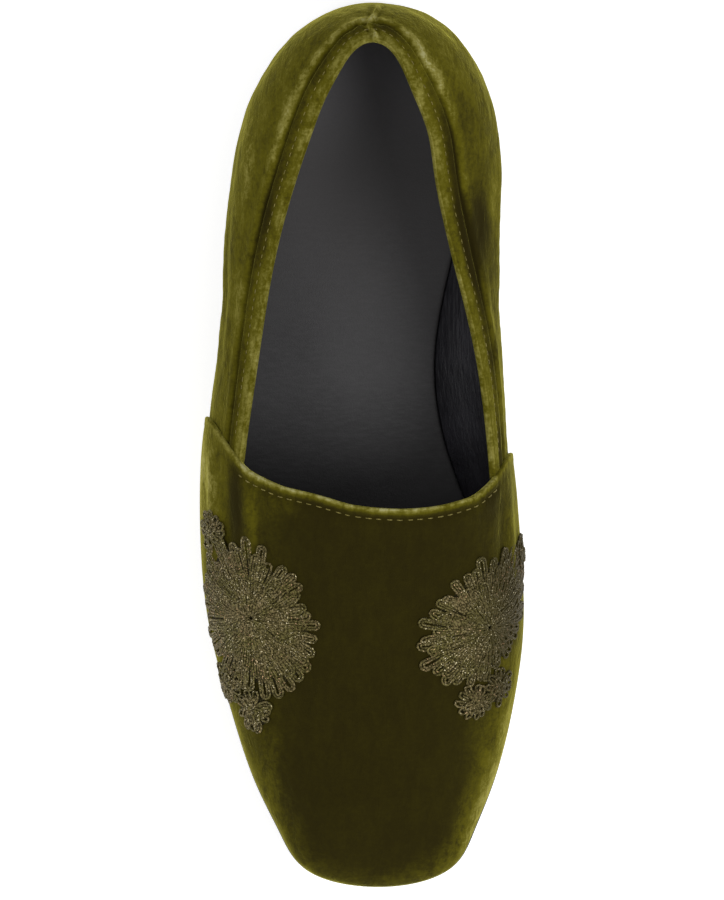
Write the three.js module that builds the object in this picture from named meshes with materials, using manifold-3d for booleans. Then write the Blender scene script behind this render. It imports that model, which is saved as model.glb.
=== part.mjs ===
// Embroidered velvet loafer for the right foot, in millimetres.
// +Z is up, the toe points along -Y and the big toe side is +X.
// The upper follows the skin of a last. Ribs run from the feather line at the sole, out to the
// widest line of the wall, and over the top to the ridge of the instep.
import * as THREE from "three";
import { mergeVertices } from "three/addons/utils/BufferGeometryUtils.js";
import Module from "manifold-3d";

const wasm = await Module();
wasm.setup();

// Driving dimensions
const length = 250;
const ballWidth = 92;
const backHeight = 50;
const instepHeight = 53;
const heelHeight = 9;
const toeSpring = 6;
const wall = 2;
const vampLap = 1.3;
const bandWidth = 6;
const bandRise = 0.5;
const bandStep = 1.5;
const rimRound = 0.8;
const outsoleThickness = 3.5;
const soleMargin = 3.8;
const soleChamfer = 0.5;
const insoleThickness = 2.5;
const insoleChamfer = 0.6;
const heelTaper = 1.6;
const heelInset = 0.6;
const bloomLength = 51;
const bloomWidth = 37;
const budSize = 13;
const embroideryThickness = 1.2;
const gap = 0.3;

// Places along the last, as shares of its length from the back of the heel
const heelPole = 0.14;
const heelBreast = 0.25;
const treadStart = 0.62;
const treadEnd = 0.76;
const throat = 0.5705;
const toePole = 0.868;
const seamAt = { lateral: 0.47, medial: 0.514 };

// Roundness of the top of the last, and how far its ribs sweep forward at the throat. The ribs
// of the quarters crowd towards the throat by a power. Those of the vamp stop sweeping, and all
// meet at the toe pole, at shares of the way from the seam to the toe. The vamp's lap has run
// into the wall at a place half-way along it.
const domePower = 2.2;
const throatSweep = 2.1;
const throatCrowding = 1.9;
const sweepEnds = 0.6;
const ribsMeet = 0.8;
const lapEnds = 1.5;

// Plan of the last and its walls. Half widths, insets of the feather line and heights of the
// widest line are shares of the ball width. Topline is the share of a rib, from the widest
// line to the ridge, at which the collar cuts it.
const walls = {
  lateral: [
    { at: 0.0, half: 0.0, inset: 0.037, widest: 0.215, topline: 0.325 },
    { at: 0.02, half: 0.187, inset: 0.036, widest: 0.213, topline: 0.444 },
    { at: 0.065, half: 0.3125, inset: 0.036, widest: 0.205, topline: 0.493 },
    { at: 0.13, half: 0.397, inset: 0.038, widest: 0.195, topline: 0.476 },
    { at: 0.2, half: 0.438, inset: 0.045, widest: 0.185, topline: 0.4 },
    { at: 0.3, half: 0.464, inset: 0.058, widest: 0.175, topline: 0.272 },
    { at: 0.4, half: 0.4865, inset: 0.062, widest: 0.165, topline: 0.194 },
    { at: 0.5, half: 0.522, inset: 0.05, widest: 0.15, topline: 0.16 },
    { at: 0.6, half: 0.531, inset: 0.033, widest: 0.13, topline: 0.16 },
    { at: 0.7, half: 0.5085, inset: 0.026, widest: 0.12, topline: 0.16 },
    { at: 0.8, half: 0.442, inset: 0.024, widest: 0.114, topline: 0.16 },
    { at: 0.88, half: 0.3705, inset: 0.022, widest: 0.112, topline: 0.16 },
    { at: 0.94, half: 0.294, inset: 0.022, widest: 0.115, topline: 0.16 },
    { at: 0.98, half: 0.221, inset: 0.022, widest: 0.118, topline: 0.16 },
    { at: 1.0, half: 0.0, inset: 0.022, widest: 0.12, topline: 0.16 },
  ],
  medial: [
    { at: 0.0, half: 0.0, inset: 0.037, widest: 0.215, topline: 0.325 },
    { at: 0.02, half: 0.187, inset: 0.037, widest: 0.214, topline: 0.486 },
    { at: 0.065, half: 0.306, inset: 0.04, widest: 0.21, topline: 0.554 },
    { at: 0.13, half: 0.369, inset: 0.048, widest: 0.205, topline: 0.532 },
    { at: 0.2, half: 0.385, inset: 0.07, widest: 0.21, topline: 0.509 },
    { at: 0.3, half: 0.377, inset: 0.118, widest: 0.235, topline: 0.377 },
    { at: 0.4, half: 0.386, inset: 0.17, widest: 0.25, topline: 0.217 },
    { at: 0.5, half: 0.401, inset: 0.152, widest: 0.235, topline: 0.145 },
    { at: 0.6, half: 0.423, inset: 0.084, widest: 0.185, topline: 0.145 },
    { at: 0.7, half: 0.433, inset: 0.036, widest: 0.145, topline: 0.145 },
    { at: 0.8, half: 0.3995, inset: 0.026, widest: 0.122, topline: 0.145 },
    { at: 0.88, half: 0.343, inset: 0.023, widest: 0.115, topline: 0.145 },
    { at: 0.94, half: 0.277, inset: 0.022, widest: 0.117, topline: 0.145 },
    { at: 0.98, half: 0.211, inset: 0.022, widest: 0.119, topline: 0.145 },
    { at: 1.0, half: 0.0, inset: 0.022, widest: 0.12, topline: 0.145 },
  ],
};

// Ridge of the last. Behind the throat its height is a share of the back height above the heel
// seat, and from there on of the instep height above the outsole. Offset, to the medial side,
// is a share of the ball width.
const ankleRidge = [
  { at: 0.0, height: 1.24, offset: 0.0 },
  { at: 0.05, height: 1.15, offset: 0.0 },
  { at: 0.14, height: 1.02, offset: 0.0 },
  { at: 0.25, height: 0.93, offset: 0.018 },
  { at: 0.36, height: 0.9, offset: 0.05 },
  { at: 0.46, height: 0.905, offset: 0.068 },
];
const instepRidge = [
  { at: 0.574, height: 1.01, offset: 0.078 },
  { at: 0.65, height: 0.9, offset: 0.074 },
  { at: 0.72, height: 0.795, offset: 0.062 },
  { at: 0.8, height: 0.7, offset: 0.044 },
  { at: 0.868, height: 0.63, offset: 0.03 },
  { at: 0.93, height: 0.57, offset: 0.022 },
  { at: 1.0, height: 0.49, offset: 0.015 },
];

// Embroidered flowers, seen from above. At is a share of the length, off a share of the ball
// width from the axis, and size a share of the full bloom. Lean is how far the bloom's long axis
// turns from the toe towards the ridge. Buds sit on the bloom's edge, at a turn from the long
// axis towards the sole, with their hearts out over it by a share of the bud. Angles are in
// degrees.
const petals = { bloom: 22, bud: 7 };
const petalNotch = { bloom: 0.07, bud: 0.12 };
const flowers = {
  lateral: {
    at: 0.694,
    off: 0.375,
    size: 1,
    lean: 25,
    buds: [
      { turn: 35, out: 0.38 },
      { turn: 60, out: 0.36 },
      { turn: 178, out: 0.05 },
    ],
  },
  medial: {
    at: 0.698,
    off: 0.313,
    size: 0.87,
    lean: 31,
    buds: [
      { turn: 33, out: 0.38 },
      { turn: 55, out: 0.38 },
      { turn: 166, out: 0.08 },
    ],
  },
};

// Fineness of the meshes
const quarterColumns = 15;
const vampColumns = 20;
const wallLevels = [0, 0.35, 0.7, 1];
const upperShares = [0.36, 0.7, 1];
const crownRows = 8;
const soleStations = 26;
const heelStations = 12;

const { lerp, clamp, smoothstep } = THREE.MathUtils;

// Natural cubic curve through the rows of a table, from one of its columns to another
function curve(rows, from, to) {
  const x = rows.map(from);
  const y = rows.map(to);
  const last = x.length - 1;
  const bend = new Array(last + 1).fill(0);
  const carry = new Array(last + 1).fill(0);
  const rise = (i) => (y[i + 1] - y[i]) / (x[i + 1] - x[i]);
  for (let i = 1; i < last; i++) {
    const before = x[i] - x[i - 1];
    const pivot = 2 * (x[i + 1] - x[i - 1]) - before * carry[i - 1];
    carry[i] = (x[i + 1] - x[i]) / pivot;
    bend[i] = (6 * (rise(i) - rise(i - 1)) - before * bend[i - 1]) / pivot;
  }
  for (let i = last - 1; i > 0; i--) bend[i] -= carry[i] * bend[i + 1];
  return (wanted) => {
    const q = clamp(wanted, x[0], x[last]);
    let i = 0;
    while (i < last - 1 && q > x[i + 1]) i++;
    const step = x[i + 1] - x[i];
    const a = (x[i + 1] - q) / step;
    const b = 1 - a;
    const cubic = (a ** 3 - a) * bend[i] + (b ** 3 - b) * bend[i + 1];
    return a * y[i] + b * y[i + 1] + (cubic * step ** 2) / 6;
  };
}

// Turn of a station: 0 at the back of the heel and half a circle at the toe, so that a curve
// drawn over it closes with round ends
const turnOf = (at) => Math.acos(1 - 2 * clamp(at, 0, 1));
const stationAt = (turn) => (1 - Math.cos(turn)) / 2;
const evenTurns = (count, end) =>
  Array.from({ length: count + 1 }, (_, i) => stationAt((i * turnOf(end)) / count));

// The curves of each side go on past the heel over the nearest rows of the other side, so that
// they round the heel without a corner
const side = { lateral: -1, medial: 1 };
const other = { lateral: "medial", medial: "lateral" };
const plan = {};
for (const [name, rows] of Object.entries(walls)) {
  const beyond = walls[other[name]].slice(1, 4).reverse();
  plan[name] = {};
  for (const column of ["half", "inset", "widest", "topline"]) {
    const mirrored = column === "half" ? -1 : 1;
    const marks = [
      ...beyond.map((row) => ({ turn: -turnOf(row.at), value: mirrored * row[column] })),
      ...rows.map((row) => ({ turn: turnOf(row.at), value: row[column] })),
    ];
    const read = curve(marks, (mark) => mark.turn, (mark) => mark.value);
    plan[name][column] = (at) => read(turnOf(at));
  }
}

// The sole stands out from the feather line all round, and is as long as the shoe
const endInsets = plan.lateral.inset(0) + plan.lateral.inset(1);
const lastLength = length - 2 * soleMargin + ballWidth * endInsets;
const stationOf = (y) => -y / lastLength;

// Height of the outsole's upper face above the floor
function seat(y) {
  const at = stationOf(y);
  const heelLift = heelHeight * (1 - smoothstep(at, heelBreast, treadStart));
  const toeLift = toeSpring * Math.max(0, (at - treadEnd) / (1 - treadEnd)) ** 2;
  return outsoleThickness + heelLift + toeLift;
}

const ridge = [
  ...ankleRidge.map((row) => ({ ...row, z: seat(0) + row.height * backHeight })),
  ...instepRidge.map((row) => ({ ...row, z: outsoleThickness + row.height * instepHeight })),
];
const ridgeHeight = curve(ridge, (row) => row.at, (row) => row.z);
const ridgeOffset = curve(ridge, (row) => row.at, (row) => row.offset);
const crown = (y) => ridgeHeight(stationOf(y));

const outline = (name, at) =>
  new THREE.Vector2(side[name] * ballWidth * plan[name].half(at), -lastLength * at);

// Unit vector in plan that points from the outline into the shoe
function inward(name, at) {
  const reach = 0.02;
  const turn = turnOf(at);
  const before = outline(turn < reach ? other[name] : name, stationAt(turn - reach));
  const after = outline(turn > Math.PI - reach ? other[name] : name, stationAt(turn + reach));
  const along = after.sub(before).normalize();
  return new THREE.Vector2(along.y, -along.x).multiplyScalar(side[name]);
}

// Where the wall of the upper meets the sole, or a line in plan outside it by a margin
function feather(name, at, margin = 0) {
  const inset = ballWidth * plan[name].inset(at) - margin;
  return outline(name, at).addScaledVector(inward(name, at), inset);
}

// How much longer a level cut through the wall is than its thickness, where it meets the sole
function lean(name, at) {
  return Math.hypot(1, (2 * plan[name].inset(at)) / plan[name].widest(at));
}

// One rib of the last. Place runs from 0 at the back of the heel, through 1 at the side seam,
// to 2 at the tip of the toe. Past either end the ribs of the other side go on.
function rib(name, place) {
  if (place < 0) return rib(other[name], -place);
  if (place > 2) return rib(other[name], 4 - place);
  const seam = seamAt[name];
  let at = 0;
  let end = 0;
  let sweep = 1;
  if (place <= 1) {
    at = seam * (1 - Math.cos((place * Math.PI) / 2));
    end = lerp(heelPole, throat, (at / seam) ** throatCrowding);
    sweep += throatSweep * place ** 2;
  } else {
    const ahead = place - 1;
    at = lerp(seam, 1, Math.sin((ahead * Math.PI) / 2));
    end = lerp(throat, toePole, 1 - Math.max(0, 1 - ahead / ribsMeet) ** 2);
    sweep += throatSweep * Math.max(0, 1 - ahead / sweepEnds) ** 2;
  }
  const foot = feather(name, at);
  const base = seat(foot.y) + gap;
  return {
    name,
    at,
    sweep,
    foot,
    base,
    start: outline(name, at),
    widest: base + ballWidth * plan[name].widest(at),
    top: new THREE.Vector2(ballWidth * ridgeOffset(end), -lastLength * end),
  };
}

// Point on a rib: level 0 is the feather line, 1 the widest line and 2 the ridge
function onRib(r, level) {
  if (level <= 1) {
    const p = r.start.clone().lerp(r.foot, (1 - level) ** 2);
    return new THREE.Vector3(p.x, p.y, lerp(r.base, r.widest, level));
  }
  const angle = ((level - 1) * Math.PI) / 2;
  const left = Math.max(0, Math.cos(angle)) ** (2 / domePower);
  const rise = Math.max(0, Math.sin(angle)) ** (2 / domePower);
  const y = lerp(r.top.y, r.start.y, left ** r.sweep);
  return new THREE.Vector3(lerp(r.top.x, r.start.x, left), y, lerp(r.widest, crown(y), rise));
}

// Level on a rib at which the topline cuts it
function toplineLevel(r) {
  const left = 1 - plan[r.name].topline(r.at);
  return 1 + Math.acos(left ** (domePower / 2)) / (Math.PI / 2);
}

// Unit vector up a rib in the skin of the last
function upRib(r, level) {
  const reach = 0.01;
  const above = onRib(r, Math.min(2, level + reach));
  return above.sub(onRib(r, Math.max(0, level - reach))).normalize();
}

// Unit normal of the last, pointing out
function normalAt(name, place, level) {
  const reach = 0.01;
  if (level > 2 - reach) {
    const { y } = rib(name, place).top;
    return new THREE.Vector3(0, (crown(y - 1) - crown(y + 1)) / 2, 1).normalize();
  }
  const ahead = onRib(rib(name, place + reach), level);
  const along = ahead.sub(onRib(rib(name, place - reach), level));
  return along.cross(upRib(rib(name, place), level)).multiplyScalar(-side[name]).normalize();
}

// Point at a distance out of the last. On the feather line it moves level, over the sole.
function skin(name, place, level, out) {
  const here = rib(name, place);
  if (level > 0) return onRib(here, level).addScaledVector(normalAt(name, place, level), out);
  const edge = feather(here.name, here.at, out * lean(here.name, here.at));
  return new THREE.Vector3(edge.x, edge.y, seat(edge.y) + gap);
}

// Distance up a rib from its widest line to a level
const ribSteps = 60;
function runTo(r, level) {
  const points = Array.from({ length: ribSteps + 1 }, (_, i) => onRib(r, lerp(1, level, i / ribSteps)));
  return points.slice(1).reduce((sum, point, i) => sum + point.distanceTo(points[i]), 0);
}

// Levels at given distances up a rib from its widest line
function levelsAt(r, runs) {
  const marks = [{ level: 1, run: 0, point: onRib(r, 1) }];
  for (let i = 1; i <= ribSteps; i++) {
    const level = 1 + i / ribSteps;
    const point = onRib(r, level);
    marks.push({ level, point, run: marks[i - 1].run + point.distanceTo(marks[i - 1].point) });
  }
  return runs.map((run) => {
    const i = Math.max(1, marks.findIndex((mark) => mark.run >= run));
    const share = (run - marks[i - 1].run) / (marks[i].run - marks[i - 1].run);
    return lerp(marks[i - 1].level, marks[i].level, share);
  });
}

// Distances up a rib of the rows from its widest line to the topline. The last three carry the
// raised band of the collar, and the row before them is the foot of its step.
function collarRuns(r) {
  const total = runTo(r, toplineLevel(r));
  const bandFoot = total - bandWidth;
  const stepFoot = bandFoot - bandStep * bandRise;
  const plain = upperShares.map((share) => share * stepFoot);
  return [...plain, bandFoot, bandFoot + bandWidth / 2, total];
}
const bandRow = wallLevels.length + upperShares.length;
const collarRow = bandRow + 2;

// Levels of the rows of a column. Behind the seam it ends at the topline, and in front of it
// the same rows go on to the ridge.
function levelsOf(name, place, overTop) {
  const r = rib(name, place);
  if (!overTop) return [...wallLevels, ...levelsAt(r, collarRuns(r))];
  const seam = rib(name, 1);
  const low = collarRuns(seam).map((run) => run / runTo(seam, 2));
  const high = Array.from({ length: crownRows - 1 }, (_, i) =>
    lerp(low.at(-1), 1, (i + 1) / crownRows),
  );
  const total = runTo(r, 2);
  return [...wallLevels, ...levelsAt(r, [...low, ...high].map((share) => share * total)), 2];
}

// A surface under construction: numbered points, and triangles between them
class Surface {
  constructor() {
    this.points = [];
    this.faces = [];
  }
  add(point) {
    return this.points.push(point) - 1;
  }
  triangle(a, b, c) {
    if (a !== b && b !== c && c !== a) this.faces.push([a, b, c]);
  }
  quad(a, b, c, d) {
    this.triangle(a, b, c);
    this.triangle(a, c, d);
  }
  strip(first, second) {
    const steps = Math.min(first.length, second.length) - 1;
    for (let i = 0; i < steps; i++) this.quad(first[i], first[i + 1], second[i + 1], second[i]);
  }
  geometry() {
    const made = new THREE.BufferGeometry().setFromPoints(this.points);
    return made.setIndex(this.faces.flat());
  }
}

function solidOf(geometry) {
  const bare = new THREE.BufferGeometry();
  bare.setAttribute("position", geometry.getAttribute("position"));
  bare.setIndex(geometry.index);
  const merged = mergeVertices(bare);
  const vertProperties = new Float32Array(merged.getAttribute("position").array);
  const triVerts = new Uint32Array(merged.index.array);
  return new wasm.Manifold(new wasm.Mesh({ numProp: 3, vertProperties, triVerts }));
}
function geometryOf(solid) {
  const mesh = solid.getMesh();
  const made = new THREE.BufferGeometry();
  made.setAttribute("position", new THREE.BufferAttribute(mesh.vertProperties, 3));
  return made.setIndex(new THREE.BufferAttribute(mesh.triVerts, 1));
}

// Columns of the upper in a ring: from the heel along the lateral side, round the toe, and back
// along the medial side. With a double seam each side has two columns there, one behind the
// vamp's edge and one on it.
function columnsOf(doubleSeam) {
  const quarters = Array.from({ length: quarterColumns + 1 }, (_, i) => i / quarterColumns);
  const vamps = Array.from({ length: vampColumns + 1 }, (_, i) => 1 + i / vampColumns);
  if (!doubleSeam) quarters.pop();
  const column = (name, overTop) => (place) => ({ name, place, overTop });
  return [
    ...quarters.map(column("lateral", false)),
    ...vamps.map(column("lateral", true)),
    ...vamps.slice(0, -1).reverse().map(column("medial", true)),
    ...quarters.slice(1).reverse().map(column("medial", false)),
  ];
}

// Adds the points of a sheet to a surface, column by column. Depth gives the distance out of
// the last. Columns that end on the same point of the ridge share it.
function addSheet(surface, columns, depth) {
  const ridgePoints = new Map();
  return columns.map(({ name, place, overTop }) => {
    const levels = levelsOf(name, place, overTop);
    const ids = levels.map((level, row) => {
      const point = skin(name, place, level, depth(place, row, overTop));
      if (level < 2) return surface.add(point);
      const key = rib(name, place).top.y.toFixed(4);
      if (!ridgePoints.has(key)) ridgePoints.set(key, surface.add(point));
      return ridgePoints.get(key);
    });
    return { name, place, overTop, levels, ids };
  });
}

// The free edge of a ring of columns: along the topline, and up and down the seam at the throat
function freeEdge(ring) {
  const item = (column, row) => ({
    name: column.name,
    place: column.place,
    level: column.levels[row],
    id: column.ids[row],
    atCorner: column.place === 1 && row === collarRow,
    atThroat: column.overTop && row > collarRow,
  });
  const throatEdge = (name) => {
    const column = ring.find((c) => c.name === name && c.overTop && c.place === 1);
    return column.ids.slice(collarRow).map((_, i) => item(column, collarRow + i));
  };
  const topline = (name) =>
    ring.filter((c) => c.name === name && !c.overTop).map((c) => item(c, collarRow));
  const medialEdge = throatEdge("medial").slice(0, -1).reverse();
  return [...topline("lateral"), ...throatEdge("lateral"), ...medialEdge, ...topline("medial")];
}

// Direction in the skin that leads out over its free edge
function overEdge({ name, place, level, atCorner, atThroat }) {
  const up = upRib(rib(name, place), level);
  if (!atCorner && !atThroat) return up;
  const back = up.clone().cross(normalAt(name, place, level));
  back.multiplyScalar(Math.sign(back.y));
  return atCorner ? back.add(up).normalize() : back;
}

function upperGeometry() {
  const made = new Surface();
  const outside = (place, row, overTop) => {
    if (overTop) return vampLap;
    return row >= bandRow ? bandRise : 0;
  };
  const inside = (place) => vampLap * smoothstep(place, 1, lapEnds) - wall;
  const outer = addSheet(made, columnsOf(true), outside);
  const inner = addSheet(made, columnsOf(false), inside);
  outer.forEach((here, i) => made.strip(outer[(i + 1) % outer.length].ids, here.ids));
  inner.forEach((here, i) => made.strip(here.ids, inner[(i + 1) % inner.length].ids));

  const footOfMate = ({ name, place }) =>
    inner.find((column) => column.name === name && column.place === place).ids[0];
  outer.forEach((here, i) => {
    const next = outer[(i + 1) % outer.length];
    made.strip([next.ids[0], here.ids[0]], [footOfMate(next), footOfMate(here)]);
  });

  // A round edge joins the free edges of the two sheets
  const innerEdge = freeEdge(inner);
  const rim = freeEdge(outer).map((item) => {
    const mate = innerEdge.find((edge) => {
      const sameRib = edge.name === item.name && edge.place === item.place;
      return sameRib && Math.abs(edge.level - item.level) < 1e-6;
    });
    const middle = made.points[item.id].clone().lerp(made.points[mate.id], 0.5);
    middle.addScaledVector(overEdge(item), rimRound);
    return { outer: item.id, middle: made.add(middle), inner: mate.id };
  });
  rim.push(rim[0]);
  made.strip(rim.map((r) => r.outer), rim.map((r) => r.middle));
  made.strip(rim.map((r) => r.middle), rim.map((r) => r.inner));
  return made.geometry();
}

// A slab through rings of points, lowest ring first. Each ring starts at the back of the heel,
// runs up the lateral side and comes back along the medial side.
function slab(rings) {
  const made = new Surface();
  const closed = rings.map((ring) => {
    const ids = ring.map((point) => made.add(point));
    return [...ids, ids[0]];
  });
  closed.slice(1).forEach((ring, i) => made.strip(closed[i], ring));
  const [bottom, top] = [closed[0], closed.at(-1)];
  const count = rings[0].length;
  for (let i = 0; i < count / 2; i++) {
    const across = count - i;
    made.quad(bottom[across], bottom[across - 1], bottom[i + 1], bottom[i]);
    made.quad(top[i], top[i + 1], top[across - 1], top[across]);
  }
  return made.geometry();
}

// A ring of points over the given stations, from a function of side and station
function around(stations, point) {
  const lateral = stations.map((at) => point("lateral", at));
  const medial = stations.map((at) => point("medial", at));
  const shared = stations.at(-1) === 1 ? medial.slice(1, -1) : medial.slice(1);
  return [...lateral, ...shared.reverse()];
}

function outsoleGeometry() {
  const ring = (trim, drop) =>
    around(evenTurns(soleStations, 1), (name, at) => {
      const p = feather(name, at, soleMargin - trim);
      return new THREE.Vector3(p.x, p.y, seat(p.y) - drop);
    });
  return slab([
    ring(soleChamfer, outsoleThickness),
    ring(0, outsoleThickness - soleChamfer),
    ring(0, soleChamfer),
    ring(soleChamfer, 0),
  ]);
}

function insoleGeometry() {
  const ring = (trim, lift) =>
    around(evenTurns(soleStations, 1), (name, at) => {
      const p = feather(name, at, -wall * lean(name, at) - gap - trim);
      return new THREE.Vector3(p.x, p.y, seat(p.y) + gap + lift);
    });
  return slab([
    ring(0, 0),
    ring(0, insoleThickness - insoleChamfer),
    ring(insoleChamfer, insoleThickness),
  ]);
}

function heelGeometry() {
  const ring = (trim, z) =>
    around(evenTurns(heelStations, heelBreast), (name, at) => {
      const p = feather(name, at, soleMargin - heelInset - trim);
      return new THREE.Vector3(p.x, p.y, z);
    });
  return slab([ring(heelTaper, 0), ring(0, heelHeight - gap)]);
}

// The vamp as a closed form at a distance out of the last. Its back and underside are drawn
// back and down by a reach, and meet at a hub. Of two such forms, the lower is drawn further,
// so that it cuts right through the back of the upper one.
function vampForm(out, reach) {
  const made = new Surface();
  const ring = addSheet(made, columnsOf(true).filter((column) => column.overTop), () => out);
  ring.slice(1).forEach((next, i) => made.strip(next.ids, ring[i].ids));
  const back = [...ring.at(-1).ids, ...ring[0].ids.slice(1, -1).reverse()];
  const border = [...ring.slice(0, -1).map((column) => column.ids[0]), ...back];
  const drawn = new THREE.Vector3(0, reach, -reach);
  const moved = border.map((id) => made.add(made.points[id].clone().add(drawn)));
  const hub = new THREE.Vector3();
  back.forEach((id) => hub.addScaledVector(made.points[id], 1 / back.length));
  const hubId = made.add(hub.add(drawn));
  border.push(border[0]);
  moved.push(moved[0]);
  made.strip(moved, border);
  moved.slice(1).forEach((id, i) => made.triangle(hubId, id, moved[i]));
  return made.geometry();
}

// Place and level of the point of the last's top that lies under a point of the plan
function spotUnder(name, x, y) {
  const reach = 1e-4;
  const spot = new THREE.Vector2(1.4, 1.4);
  for (let i = 0; i < 20; i++) {
    const here = onRib(rib(name, spot.x), spot.y);
    const ahead = onRib(rib(name, spot.x + reach), spot.y).sub(here).divideScalar(reach);
    const up = onRib(rib(name, spot.x), spot.y + reach).sub(here).divideScalar(reach);
    const area = ahead.x * up.y - ahead.y * up.x;
    const [missX, missY] = [x - here.x, y - here.y];
    spot.x += (missX * up.y - missY * up.x) / area;
    spot.y += (missY * ahead.x - missX * ahead.y) / area;
    spot.y = clamp(spot.y, 1.05, 1.95);
  }
  return { place: spot.x, level: spot.y };
}

// A flat flower as a prism: round petals with a notch between each two
function petalPrism(sizeX, sizeY, count, notch, depth) {
  const points = Array.from({ length: 4 * count }, (_, i) => {
    const angle = (Math.PI * i) / (2 * count);
    const reach = i % 4 === 0 ? 0.5 * (1 - notch) : 0.5;
    return new THREE.Vector2(reach * sizeX * Math.cos(angle), reach * sizeY * Math.sin(angle));
  });
  return new THREE.ExtrudeGeometry(new THREE.Shape(points), { depth, bevelEnabled: false });
}

// Embroidery is a thin layer over the vamp, cut by a flower that stands square on the skin at
// the heart of the bloom
function embroideryGeometry(name) {
  const { at, off, size, lean: leanDegrees, buds } = flowers[name];
  const { place, level } = spotUnder(name, side[name] * off * ballWidth, -at * lastLength);
  const normal = normalAt(name, place, level);
  const toToe = new THREE.Vector3(0, -1, 0).projectOnPlane(normal).normalize();
  const long = toToe.applyAxisAngle(normal, -side[name] * THREE.MathUtils.degToRad(leanDegrees));
  const across = normal.clone().cross(long);
  const frame = new THREE.Matrix4().makeBasis(long, across, normal);
  frame.setPosition(skin(name, place, level, 0));
  const [lengthwise, crosswise, depth] = [size * bloomLength, size * bloomWidth, bloomLength];
  const placed = (geometry, x, y) =>
    solidOf(geometry.translate(x, y, -depth / 2).applyMatrix4(frame));
  const bloom = petalPrism(lengthwise, crosswise, petals.bloom, petalNotch.bloom, depth);
  const flower = buds.reduce((whole, { turn, out }) => {
    const budAcross = size * budSize;
    const angle = THREE.MathUtils.degToRad(turn);
    const edge = 0.5 / Math.hypot(Math.cos(angle) / lengthwise, Math.sin(angle) / crosswise);
    const far = edge + out * budAcross;
    const bud = petalPrism(budAcross, budAcross, petals.bud, petalNotch.bud, depth);
    return whole.add(placed(bud, far * Math.cos(angle), side[name] * far * Math.sin(angle)));
  }, placed(bloom, 0, 0));
  const low = vampLap + gap;
  const [shallow, deep] = [wall, 4 * wall];
  const over = solidOf(vampForm(low + embroideryThickness, shallow));
  const under = solidOf(vampForm(low, deep));
  return geometryOf(over.subtract(under).intersect(flower));
}

const velvet = new THREE.MeshStandardMaterial({ color: 0x55561a, roughness: 0.9, metalness: 0 });
const thread = new THREE.MeshStandardMaterial({ color: 0x6a5f3c, roughness: 0.6, metalness: 0.2 });
const leather = new THREE.MeshStandardMaterial({ color: 0x2e2d30, roughness: 0.55, metalness: 0 });
const rubber = new THREE.MeshStandardMaterial({ color: 0x1d1d1f, roughness: 0.7, metalness: 0 });

const shoe = new THREE.Group();
function addPiece(name, geometry, material) {
  const mesh = new THREE.Mesh(geometry, material);
  mesh.name = name;
  shoe.add(mesh);
}
addPiece("outsole", outsoleGeometry(), rubber);
addPiece("heel", heelGeometry(), rubber);
addPiece("insole", insoleGeometry(), leather);
addPiece("upper", upperGeometry(), velvet);
addPiece("embroidery_lateral", embroideryGeometry("lateral"), thread);
addPiece("embroidery_medial", embroideryGeometry("medial"), thread);

// The origin is on the floor under the middle of the shoe
const bounds = new THREE.Box3().setFromObject(shoe);
const centre = bounds.getCenter(new THREE.Vector3());
shoe.position.set(-centre.x, -centre.y, -bounds.min.z);

export default shoe;
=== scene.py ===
import math
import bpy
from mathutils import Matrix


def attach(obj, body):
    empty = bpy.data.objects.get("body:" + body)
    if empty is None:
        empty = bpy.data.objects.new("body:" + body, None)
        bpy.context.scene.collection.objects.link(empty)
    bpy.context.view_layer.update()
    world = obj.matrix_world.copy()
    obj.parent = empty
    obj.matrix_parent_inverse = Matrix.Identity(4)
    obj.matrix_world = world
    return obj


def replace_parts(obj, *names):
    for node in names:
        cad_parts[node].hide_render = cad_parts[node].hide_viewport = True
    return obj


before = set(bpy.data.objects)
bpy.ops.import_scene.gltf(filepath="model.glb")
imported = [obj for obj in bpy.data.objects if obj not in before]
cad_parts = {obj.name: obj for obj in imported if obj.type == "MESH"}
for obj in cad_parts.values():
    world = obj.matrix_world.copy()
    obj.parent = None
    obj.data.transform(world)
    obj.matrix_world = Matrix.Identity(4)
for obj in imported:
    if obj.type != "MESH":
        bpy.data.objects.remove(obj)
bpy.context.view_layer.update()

from types import SimpleNamespace

import bmesh
import bpy
import numpy as np
from mathutils import Vector

# Sizes of the shoe, in millimetres, as the solids have them
LENGTH = 250.0
BALL = 92.0
BACK_HEIGHT = 50.0
INSTEP_HEIGHT = 53.0
HEEL_HEIGHT = 9.0
TOE_SPRING = 6.0
WALL = 2.0
VAMP_LAP = 1.3
BAND_WIDTH = 6.0
BAND_RISE = 0.5
OUTSOLE = 3.5
SOLE_MARGIN = 3.8
INSOLE = 2.5
HEEL_TAPER = 1.6
HEEL_INSET = 0.6
BLOOM_LENGTH = 51.0
BLOOM_WIDTH = 37.0
BUD = 13.0
GAP = 0.3

# Places along the last, as shares of its length from the back of the heel
HEEL_POLE = 0.14
HEEL_BREAST = 0.25
TREAD_START = 0.62
TREAD_END = 0.76
THROAT = 0.5705
TOE_POLE = 0.868
DOME_POWER = 2.2
THROAT_SWEEP = 2.1

# How the tops of the ribs crowd to the throat, and how far ahead of the side seam, as shares of
# the ribs there, the tops reach the toe's pole and the sweep of the ribs dies out
HEEL_CROWDING = 1.9
TOPS_END = 0.8
SWEEP_ENDS = 0.6

LATERAL = -1
MEDIAL = 1
SEAM_AT = {LATERAL: 0.47, MEDIAL: 0.514}

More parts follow.
